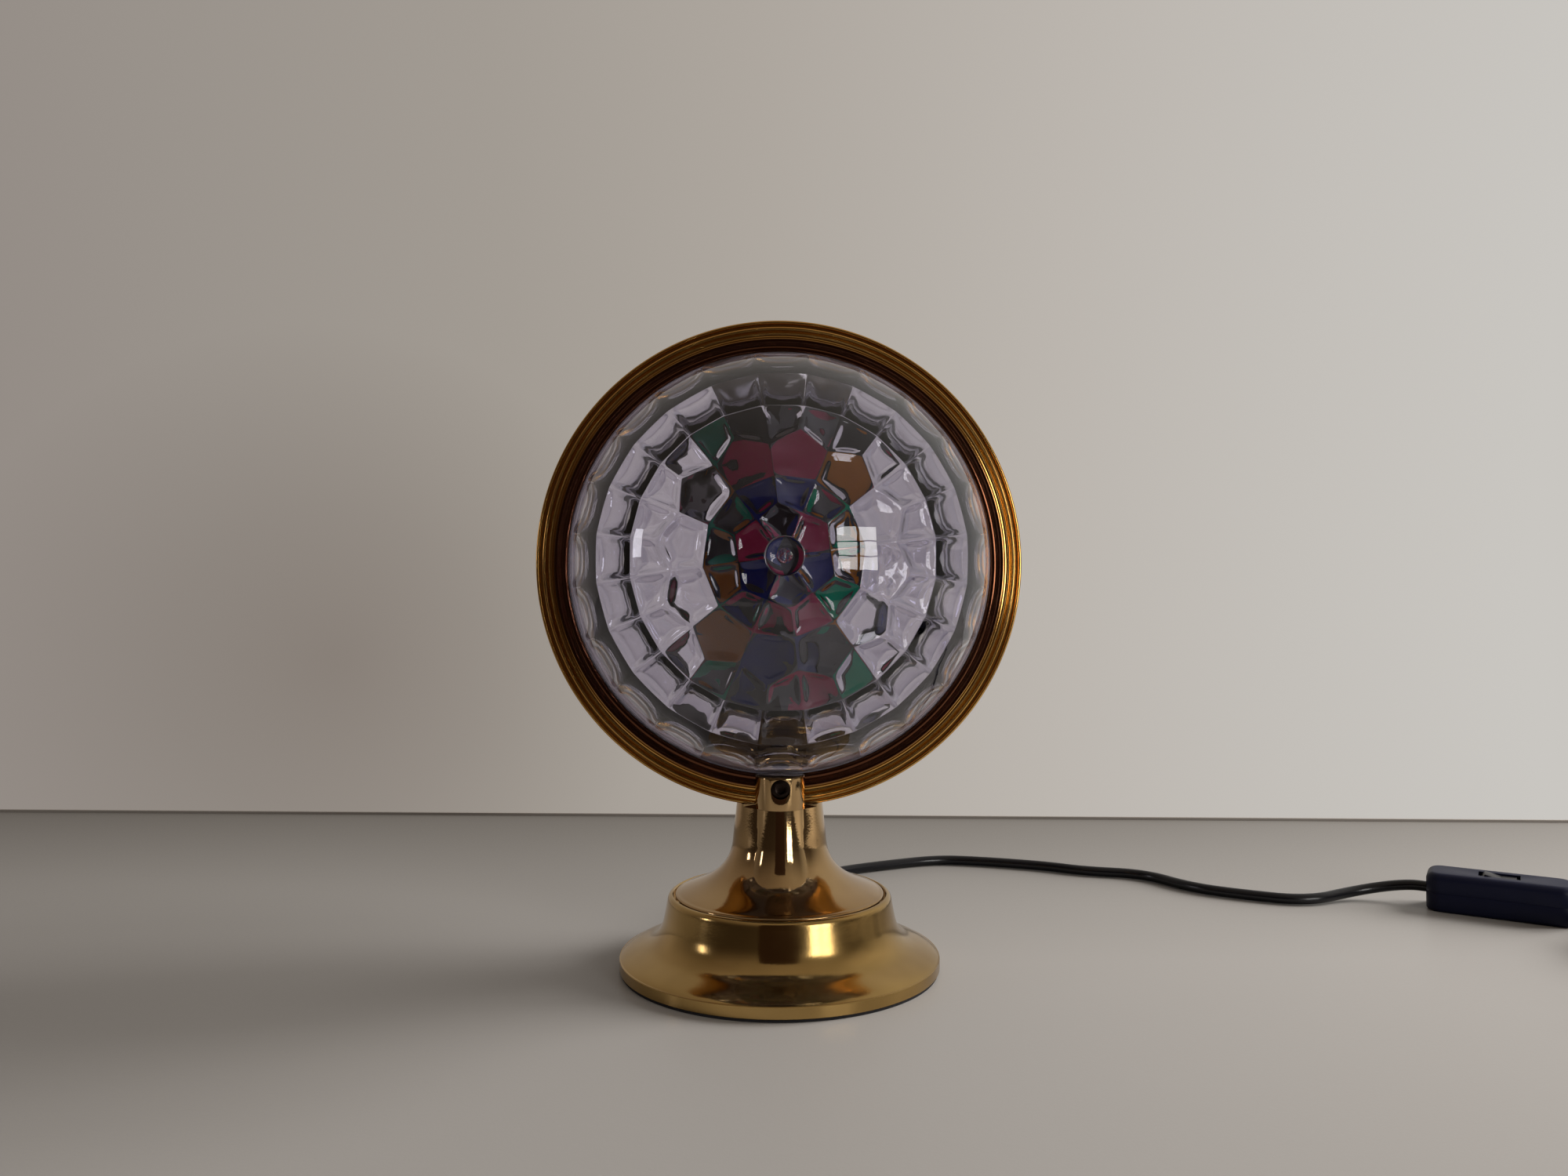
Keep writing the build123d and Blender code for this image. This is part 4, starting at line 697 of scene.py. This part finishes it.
# Each row: facets, tilt in degrees, distance from the ball's centre, direction of the first facet
FACET_ROWS = [
    (24, 67.0, 74.1, 0.0),
    (24, 47.8, 75.2, 0.0),
    (24, 30.4, 74.6, 0.0),
    (12, 24.9, 74.1, 22.5),
    (12, 13.9, 74.1, 22.5),
    (6, 7.5, 73.9, 37.5),
]
deselect()
bpy.ops.mesh.primitive_cylinder_add(vertices=BOWL_SIDES, radius=BOWL_RADIUS * MM,
                                    depth=(BOWL_TOP - BOWL_BOTTOM) * MM,
                                    location=(0, 0, (BOWL_TOP + BOWL_BOTTOM) / 2 * MM),
                                    rotation=(0, 0, math.radians(180 / BOWL_SIDES)))
bowl = bpy.context.object
bowl.name = "facet_bowl"
settle(bowl)
edit(bowl)
for sides, tilt, distance, first in FACET_ROWS:
    lean = math.radians(tilt)
    for i in range(sides):
        around = math.radians(first + i * 360 / sides)
        outward = Vector((math.sin(lean) * math.cos(around), math.sin(lean) * math.sin(around),
                          math.cos(lean)))
        bpy.ops.mesh.select_all(action="SELECT")
        bpy.ops.mesh.bisect(plane_co=outward * distance * MM, plane_no=outward, use_fill=True,
                            clear_outer=True)
bpy.ops.mesh.select_all(action="SELECT")
bpy.ops.mesh.remove_doubles(threshold=0.00002)
bpy.ops.mesh.normals_make_consistent(inside=False)
bpy.ops.mesh.select_mode(type="EDGE")
bpy.ops.mesh.select_all(action="DESELECT")
bpy.ops.mesh.edges_select_sharp(sharpness=math.radians(GROOVE_ANGLE))
bpy.ops.mesh.bevel(offset=GROOVE_WIDTH * MM, segments=2, profile=0.5, clamp_overlap=True)
leave_edit()
print("bowl faces", len(bowl.data.polygons))

# %% [markdown]
# Plastic shrinks as it cools, so no moulded facet stays truly flat. Each is a very low pillow,
# and that is what breaks the picture behind it into pieces. A facet is filled with a fan of
# triangles, these are cut finer, and every new point is raised by how far it is from the borders.
# %% Lens: pillows on the facets
PILLOW_RISE = 0.75
SMALLEST_FACET = 2e-5
FACET_REACH = 0.02
ON_THE_FACET = 2e-6
FACET_CUTS = 4
ROUNDNESS = 3


def facet_borders(mesh):
    """For each facet: index, centre, normal and borders as (point, inward direction, reach)."""
    facets = []
    for face in mesh.polygons:
        # The cutter's flat end and the narrow bevels are not facets
        if face.normal.z < -0.1 or face.area < SMALLEST_FACET:
            continue
        centre = face.center.copy()
        corners = [mesh.vertices[v].co.copy() for v in face.vertices]
        borders = []
        for a, b in zip(corners, corners[1:] + corners[:1]):
            inward = face.normal.cross(b - a).normalized()
            borders.append((a, inward, inward.dot(centre - a)))
        facets.append((face.index, centre, face.normal.copy(), borders))
    return facets


def share(point, borders):
    """0 on a facet's border and 1 at its centre, changing smoothly between."""
    total = 0.0
    for start, inward, reach in borders:
        part = inward.dot(point - start) / reach
        if part < 1e-4:
            return 0.0
        total += part ** -ROUNDNESS
    return (total / len(borders)) ** (-1 / ROUNDNESS)


facets = facet_borders(bowl.data)
chosen = {index for index, *_ in facets}
edit(bowl)
bpy.ops.mesh.select_mode(type="FACE")
bpy.ops.mesh.select_all(action="DESELECT")
leave_edit()
for face in bowl.data.polygons:
    face.select = face.index in chosen
bpy.ops.object.mode_set(mode="EDIT")
bpy.ops.mesh.poke()
bpy.ops.mesh.subdivide(number_cuts=FACET_CUTS)
leave_edit()
for vertex in bowl.data.vertices:
    for _, centre, normal, borders in facets:
        place = vertex.co - centre
        if abs(place.dot(normal)) > ON_THE_FACET or place.length > FACET_REACH:
            continue
        inside = share(vertex.co, borders)
        if inside > 0:
            vertex.co -= normal * (PILLOW_RISE * MM * inside * (2 - inside))
            break
print("facets", len(facets), "bowl faces", len(bowl.data.polygons))

# %% [markdown]
# Outside, the lens is a plain dome of 79 mm radius on a flat flange. Half a sphere could be
# joined to a ring, but one lathed outline gives both at once, closed and without a seam. The
# bowl loses a small round boss where the plastic entered the mould, and is then cut out of the
# dome. The rear lens is a copy, turned round.
# %% Lens: the dome
DOME_RADIUS = 79
DOME_STEPS = 96
FLANGE_RADIUS, FLANGE_THICKNESS = 89.9, 2.9
LENS_SETBACK = 2.2


def weigh_normals(piece):
    """Lets the large flat faces keep their own direction and the narrow bevels do the turning."""
    step = piece.modifiers.new("flat faces", "WEIGHTED_NORMAL")
    step.mode = "FACE_AREA"
    step.weight = 100
    step.keep_sharp = True
    apply_all(piece)


dome_outline = [(0.0, 0.0), (FLANGE_RADIUS, 0.0), (FLANGE_RADIUS, FLANGE_THICKNESS)]
dome_foot = math.asin(FLANGE_THICKNESS / DOME_RADIUS)
for i in range(DOME_STEPS + 1):
    rise = dome_foot + (math.pi / 2 - dome_foot) * i / DOME_STEPS
    dome_outline.append((DOME_RADIUS * math.cos(rise), DOME_RADIUS * math.sin(rise)))
dome_outline[-1] = (0.0, DOME_RADIUS)
lens_piece = lathe("front_lens_clear", dome_outline, 240)
boss_outline = [(0.0, 71.7)] + bezier((0.0, 71.7), (2.4, 71.7), (4.6, 72.0), (5.9, 72.7), 12)
boss_outline += bezier((5.9, 72.7), (6.2, 72.9), (6.4, 73.1), (6.4, 73.4), 4)
boss_outline += [(6.4, 90.0), (0.0, 90.0)]
boolean(bowl, lathe("boss", boss_outline, 64), "DIFFERENCE")
boolean(lens_piece, bowl, "DIFFERENCE")
smooth(lens_piece)
weigh_normals(lens_piece)
dress(lens_piece, polystyrene)
rear_lens = lens_piece.copy()
rear_lens.data = lens_piece.data.copy()
rear_lens.name = "rear_lens_clear"
bpy.context.scene.collection.objects.link(rear_lens)
# The dome was made looking up; it is laid on its side, facing the camera
to_front = Matrix(((1, 0, 0, 0), (0, 0, -1, -LENS_SETBACK * MM), (0, 1, 0, LENS_AXIS_Z * MM),
                   (0, 0, 0, 1)))
to_rear = Matrix.Rotation(math.pi, 4, "Z") @ to_front
lens_piece.data.transform(to_front)
rear_lens.data.transform(to_rear)
for piece, node in ((lens_piece, "front_lens"), (rear_lens, "rear_lens")):
    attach(piece, "head")
    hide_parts(node)
print("lens faces", len(lens_piece.data.polygons))

# %% [markdown]
# ## Small solid pieces
# Screws, cheeks, switch halves and the plug already have the right shape in the solid model, but
# as loose triangles with knife-sharp edges. A copy of each is welded, its flat faces are merged
# again, and a narrow bevel rounds the edges, so that they catch light as real ones do.
# %% Copies with soft edges
def softened(node, material, body, width_mm, angle=30):
    """A finished copy of a solid, with bevels of this width where its faces meet at an edge."""
    source = CAD[node]
    piece = bpy.data.objects.new(node + "_finished", source.data.copy())
    bpy.context.scene.collection.objects.link(piece)
    edit(piece)
    bpy.ops.mesh.remove_doubles(threshold=0.000005)
    bpy.ops.mesh.dissolve_limited(angle_limit=math.radians(0.6))
    leave_edit()
    if width_mm:
        rounding = piece.modifiers.new("edges", "BEVEL")
        rounding.width = width_mm * MM
        rounding.segments = 2
        rounding.limit_method = "ANGLE"
        rounding.angle_limit = math.radians(angle)
        apply_all(piece)
    smooth(piece, angle)
    dress(piece, material)
    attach(piece, body)
    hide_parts(node)
    return piece


softened("front_cheek", plated_stem, "head", 0.12)
softened("rear_cheek", plated_stem, "head", 0.12)
softened("clamp_screw", blackened_steel, "head", 0.15)
softened("cord_relief", cord_rubber, "base", 0.1)
switch_low = softened("switch_lower", switch_plastic, "base", 0.25)
switch_top = softened("switch_upper", switch_plastic, "base", 0.25)
switch_key = softened("switch_rocker", black_plastic, "rocker", 0.2)
plug_shell = softened("plug_body", switch_plastic, "base", 0.3)
plug_prongs = softened("plug_pins", zinc_steel, "base", 0.0)
tie_strap = softened("coil_tie", cord_rubber, "base", 0.1)
softened("motor", motor_steel, "head", 0.2)
softened("lampholder", black_plastic, "head", 0.2)
softened("inner_frame", pale_steel, "head", 0.15)
softened("drum_cage", drum_plastic, "drum", 0.0)
softened("bulb_glass", opal_glass, "head", 0.0, 40)
softened("bulb_cap", motor_steel, "head", 0.1)
print("softened pieces ready")

# %% [markdown]
# ## Solid pieces that stay as they are
# What sits out of sight, or is as plain as a washer, keeps its solid and only gets its finish.
# %% Finishes of the plain pieces
PLAIN = {
    "base_weight": cast_iron,
    "cover_plate": zinc_steel,
    "felt_pad": pressed_felt,
    "deck_screws": zinc_steel,
    "cover_screws": zinc_steel,
    "stop_pin": zinc_steel,
    "swivel_washer": natural_nylon,
    "friction_washer": natural_nylon,
    "swivel_nut": zinc_steel,
    "stem_nipple": zinc_steel,
    "motor_shaft": zinc_steel,
    "switch_screws": zinc_steel,
    **FILMS,
}
for node, material in PLAIN.items():
    dress(CAD[node], material)
print("plain pieces", len(PLAIN))

# %% [markdown]
# ## The cord in the frame
# A real cord bends when the lamp is moved, and its curve only shows how it lies at rest. Here the
# curve gets the rubber finish and goes with the base, and the solid model's cord pieces are
# hidden. Its length is measured on the curve.
dress(mains_cord, cord_rubber)
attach(mains_cord, "base")
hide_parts("cord_lead", "cord_link", "cord_coil", "cord_tail")

# %% [markdown]
# ## The table
# The lamp stands on a pale grey laminate table whose far edge runs behind it at a slight slant,
# above a thin line of shadow. The table could be a plane, but its edge shows from other sides,
# so a plane with its corners in place is extruded down into a board.
# %% Table
TABLE_HALF_WIDTH = 1.6
TABLE_THICKNESS = 0.025
TABLE_NEAR_Y = -0.42
TABLE_FAR_LEFT_Y, TABLE_FAR_RIGHT_Y = 0.389, 0.195


def table_laminate():
    """Pale grey laminate with a pressed texture, and painted shade that darkens it towards the
    wall.
    """
    material, shader = start_material("pale grey laminate")
    place = add(material, "ShaderNodeTexCoord")
    # A pressed grain of 1.1 mm, and a tone that changes over a third of a metre
    grain = add(material, "ShaderNodeTexNoise", [("Vector", place, "Object")],
                Scale=900, Detail=2)
    cloud = add(material, "ShaderNodeTexNoise", [("Vector", place, "Object")], Scale=3, Detail=3)
    tone = add(material, "ShaderNodeMix", [("Factor", cloud, "Fac")], data_type="RGBA",
               A=colour("#a2a09e"), B=colour("#a8a6a4"))
    # Painted shade: from 0 to 0.32 m back the laminate darkens towards #706d69, as in the wall's
    # shade
    back = add(material, "ShaderNodeSeparateXYZ", [("Vector", place, "Object")])
    table_shade = add(material, "ShaderNodeMapRange", [("Value", back, "Y")],
                From_Min=0.0, From_Max=0.32)
    shaded_laminate = add(material, "ShaderNodeMix", [("Factor", table_shade, "Result"), ("A", tone, "Result")],
                 data_type="RGBA", B=colour("#706d69"))
    rough = add(material, "ShaderNodeMapRange", [("Value", grain, "Fac")],
                To_Min=0.3, To_Max=0.42)
    bump = add(material, "ShaderNodeBump", [("Height", grain, "Fac")],
               Strength=0.1, Distance=0.0002)
    link(material, shaded_laminate, "Result", shader, "Base Color")
    link(material, rough, "Result", shader, "Roughness")
    link(material, bump, "Normal", shader, "Normal")
    shader.inputs["Specular IOR Level"].default_value = 0.07
    return material


deselect()
bpy.ops.mesh.primitive_plane_add(size=1, location=(0, 0, 0))
table = bpy.context.object
table.name = "table_top"
table_corners = [(-TABLE_HALF_WIDTH, TABLE_NEAR_Y), (TABLE_HALF_WIDTH, TABLE_NEAR_Y),
                 (-TABLE_HALF_WIDTH, TABLE_FAR_LEFT_Y), (TABLE_HALF_WIDTH, TABLE_FAR_RIGHT_Y)]
for vertex, (x, y) in zip(table.data.vertices, table_corners):
    vertex.co = (x, y, 0)
edit(table)
bpy.ops.mesh.extrude_region_move(TRANSFORM_OT_translate={"value": (0, 0, -TABLE_THICKNESS)})
bpy.ops.mesh.select_all(action="SELECT")
bpy.ops.mesh.normals_make_consistent(inside=False)
leave_edit()
dress(table, table_laminate())
print("table", [round(size, 3) for size in table.dimensions])

# %% The shadow line behind the table
GAP_SETBACK = 0.0015
GAP_DEPTH, GAP_HEIGHT = 0.002, 0.003


def matt_paint(name, code):
    """One flat, dull colour, for things that only have to look dark or grey."""
    material, shader = start_material(name)
    shader.inputs["Base Color"].default_value = colour(code)
    shader.inputs["Roughness"].default_value = 0.9
    return material


left_end = Vector((-TABLE_HALF_WIDTH, TABLE_FAR_LEFT_Y + GAP_SETBACK, 0))
right_end = Vector((TABLE_HALF_WIDTH, TABLE_FAR_RIGHT_Y + GAP_SETBACK, 0))
far_edge = right_end - left_end
deselect()
bpy.ops.mesh.primitive_cube_add(size=1, location=(left_end + right_end) / 2,
                                scale=(far_edge.length, GAP_DEPTH, GAP_HEIGHT))
gap = bpy.context.object
gap.name = "gap_behind_table"
gap.rotation_euler.z = math.atan2(far_edge.y, far_edge.x)
settle(gap)
dress(gap, matt_paint("shadow in the gap behind the table", "#8f8983"))
print("gap", round(far_edge.length, 3), "m long")

# %% [markdown]
# ## The light
# Daylight comes from a large window on the right, a dimmer one behind the camera and a small one
# on the left. A sun lamp would give hard shadows and a round glint. Area lights give soft
# shadows, and split into panes they show in polished brass as windows do. A dark card behind the
# camera stands for the dim side of the room, and gives the brass something dark to mirror.
# %% Windows
BALL = (0, 0, 0.15)
PANE_WIDTH, PANE_HEIGHT = 0.88, 0.92


def towards_ball(place):
    """The turn that makes a light's own -Z look from its place at the ball."""
    return (Vector(BALL) - Vector(place)).to_track_quat("-Z", "Y")


def area_light(name, place, turn, width, height, power, code):
    """One rectangle of light; its power is in watts."""
    lamp = bpy.data.lights.new(name, "AREA")
    lamp.shape = "RECTANGLE"
    lamp.size = width
    lamp.size_y = height
    lamp.energy = power
    lamp.color = colour(code)[:3]
    light = bpy.data.objects.new(name, lamp)
    light.location = place
    light.rotation_euler = turn.to_euler()
    bpy.context.scene.collection.objects.link(light)


def window(name, place, width, height, power, code, columns, rows):
    """A window as the brass mirrors it: equal panes of light with dark bars between them."""
    turn = towards_ball(place)
    for i in range(columns):
        for j in range(rows):
            across = ((i + 0.5) / columns - 0.5) * width
            up = ((j + 0.5) / rows - 0.5) * height
            pane = Vector(place) + turn @ Vector((across, up, 0))
            area_light(f"{name}_{i}_{j}", pane, turn, width / columns * PANE_WIDTH,
                       height / rows * PANE_HEIGHT, power / columns / rows, code)


right_window = {"place": (1.5, 0.25, 0.75), "width": 0.9, "height": 0.9, "code": "#fffaf5",
                "columns": 2, "rows": 2}
window("window_right", power=30.0, **right_window)
window("window_behind_camera", (0.95, -1.2, 0.3), width=0.6, height=0.55, power=6.4,
       code="#fbf9f6", columns=2, rows=3)
left_place = (-1.45, -0.3, 0.35)
area_light("window_left", left_place, towards_ball(left_place), width=0.14, height=0.3,
           power=0.9, code="#f7f5ff")
# The right window is so strong that its mirror image would be flat white. Mirrors and clear
# plastic see a weaker copy of it, with the same panes.
for pane in [light for light in bpy.data.objects if light.name.startswith("window_right")]:
    pane.visible_glossy = False
    pane.visible_transmission = False
window("mirrored_window_right", power=11.0, **right_window)
print("lights", len(bpy.data.lights))

# %% The dark card
CARD_WIDTH, CARD_HEIGHT, CARD_CORNER = 0.5, 0.6, 0.05

deselect()
bpy.ops.mesh.primitive_plane_add(size=1, location=(-0.02, -0.72, 0.28),
                                 rotation=(math.radians(90), 0, 0))
card = bpy.context.object
card.name = "dark_card"
card.scale = (CARD_WIDTH, CARD_HEIGHT, 1)
settle(card)
edit(card)
bpy.ops.mesh.bevel(offset=CARD_CORNER, segments=6, affect="VERTICES")
leave_edit()
dress(card, matt_paint("dark card", "#2b1a14"))
card.visible_camera = False
card.visible_shadow = False
card.visible_diffuse = False
print("card", CARD_WIDTH, "by", CARD_HEIGHT, "m")

# %% [markdown]
# ## The wall and the room
# The pale wall behind the table could be a plane with lights on it. It is the world's colour
# instead: that has no edge and no noise, and what the camera sees can differ from what mirrors
# and clear lenses see. Colour ramps over the direction of view paint wall, floor and ceiling.
# %% World: the wall
PICTURE_EDGE = 0.57
SHADOW_DIRECTION = (-0.34, 0.93, -0.05)
SHADOW_REACH = 0.27
TIMES = {"data_type": "RGBA", "blend_type": "MULTIPLY", "Factor": 1.0}
world = bpy.data.worlds.new("room")
bpy.context.scene.world = world
world.use_nodes = True


def set_stops(ramp, stops):
    """Puts pairs of position and web colour on a colour ramp."""
    elements = ramp.color_ramp.elements
    for element, (position, code) in zip(elements, (stops[0], stops[-1])):
        element.position = position
        element.color = colour(code)
    for position, code in stops[1:-1]:
        elements.new(position).color = colour(code)


direction = add(world, "ShaderNodeTexCoord")
split = add(world, "ShaderNodeSeparateXYZ", [("Vector", direction, "Generated")])
# From the picture's left edge to its right edge the wall grows paler: painted light from the
# window on the right
across = add(world, "ShaderNodeMapRange", [("Value", split, "X")],
             From_Min=-PICTURE_EDGE, From_Max=PICTURE_EDGE)
wall = add(world, "ShaderNodeValToRGB", [("Fac", across, "Result")])
set_stops(wall, [(0.0, "#938b85"), (0.12, "#99928b"), (0.32, "#a29b93"), (0.5, "#ada69e"),
                 (0.72, "#bbb5ae"), (1.0, "#c9c6c1")])
# The lamp's own soft shadow lies on the wall at its left
off_shadow = add(world, "ShaderNodeVectorMath", [(0, direction, "Generated")],
                 operation="SUBTRACT")
off_shadow.inputs[1].default_value = SHADOW_DIRECTION
distance_off = add(world, "ShaderNodeVectorMath", [(0, off_shadow, "Vector")],
                   operation="LENGTH")
share_off = add(world, "ShaderNodeMapRange", [("Value", distance_off, "Value")],
                From_Min=0.0, From_Max=SHADOW_REACH)
shadow = add(world, "ShaderNodeValToRGB", [("Fac", share_off, "Result")])
set_stops(shadow, [(0.0, "#dedad8"), (0.45, "#ebe9e8"), (1.0, "#ffffff")])
shaded_wall = add(world, "ShaderNodeMix", [("A", wall, "Color"), ("B", shadow, "Color")], **TIMES)
print("wall nodes", len(world.node_tree.nodes))

# %% World: the room in mirrors and through the lenses
GAIN_THROUGH_LENSES = 0.2
rays = add(world, "ShaderNodeLightPath")
up_and_down = add(world, "ShaderNodeMapRange", [("Value", split, "Z")],
                  From_Min=-1.0, From_Max=1.0)
# Mirrors and soft light also see the room behind the camera: dark below, dim ahead, pale above
upper = add(world, "ShaderNodeValToRGB", [("Fac", up_and_down, "Result")])
set_stops(upper, [(0.0, "#2c2723"), (0.4, "#37312c"), (0.5, "#5f5852"), (0.62, "#857e77"),
                  (0.8, "#ccc6be"), (1.0, "#e2dcd4")])
forward = add(world, "ShaderNodeMapRange", [("Value", split, "Y")], From_Min=-0.2, From_Max=0.6)
front = add(world, "ShaderNodeMix", [("Factor", forward, "Result"), ("A", upper, "Color")],
            data_type="RGBA", B=colour("#ffffff"))
room = add(world, "ShaderNodeMix", [("A", wall, "Color"), ("B", front, "Result")], **TIMES)
seen = add(world, "ShaderNodeMix", [("Factor", rays, "Is Camera Ray"), ("A", room, "Result"),
                                    ("B", shaded_wall, "Result")], data_type="RGBA")
# Through the clear lenses floor and ceiling show as bluish shadow, and the right side is greyer
height = add(world, "ShaderNodeValToRGB", [("Fac", up_and_down, "Result")])
set_stops(height, [(0.0, "#565362"), (0.3, "#8e8a98"), (0.42, "#dbd8e0"), (0.62, "#ffffff"),
                   (0.8, "#7f7b8a"), (1.0, "#55525e")])
left_to_right = add(world, "ShaderNodeMapRange", [("Value", split, "X")],
                    From_Min=-0.6, From_Max=0.6)
sides = add(world, "ShaderNodeValToRGB", [("Fac", left_to_right, "Result")])
set_stops(sides, [(0.0, "#ffffff"), (0.35, "#ffffff"), (0.72, "#c6c4c8"), (1.0, "#bab8bc")])
clear = add(world, "ShaderNodeMix", [("A", room, "Result"), ("B", height, "Color")], **TIMES)
cleared = add(world, "ShaderNodeMix", [("A", clear, "Result"), ("B", sides, "Color")], **TIMES)
through = add(world, "ShaderNodeMix", [("Factor", rays, "Is Transmission Ray"),
                                       ("A", seen, "Result"), ("B", cleared, "Result")],
              data_type="RGBA")
gain = add(world, "ShaderNodeMath", [(0, rays, "Is Transmission Ray")],
           operation="MULTIPLY_ADD")
gain.inputs[1].default_value = GAIN_THROUGH_LENSES
gain.inputs[2].default_value = 1.0
background = world.node_tree.nodes["Background"]
link(world, through, "Result", background, "Color")
link(world, gain, "Value", background, "Strength")
print("world nodes", len(world.node_tree.nodes))
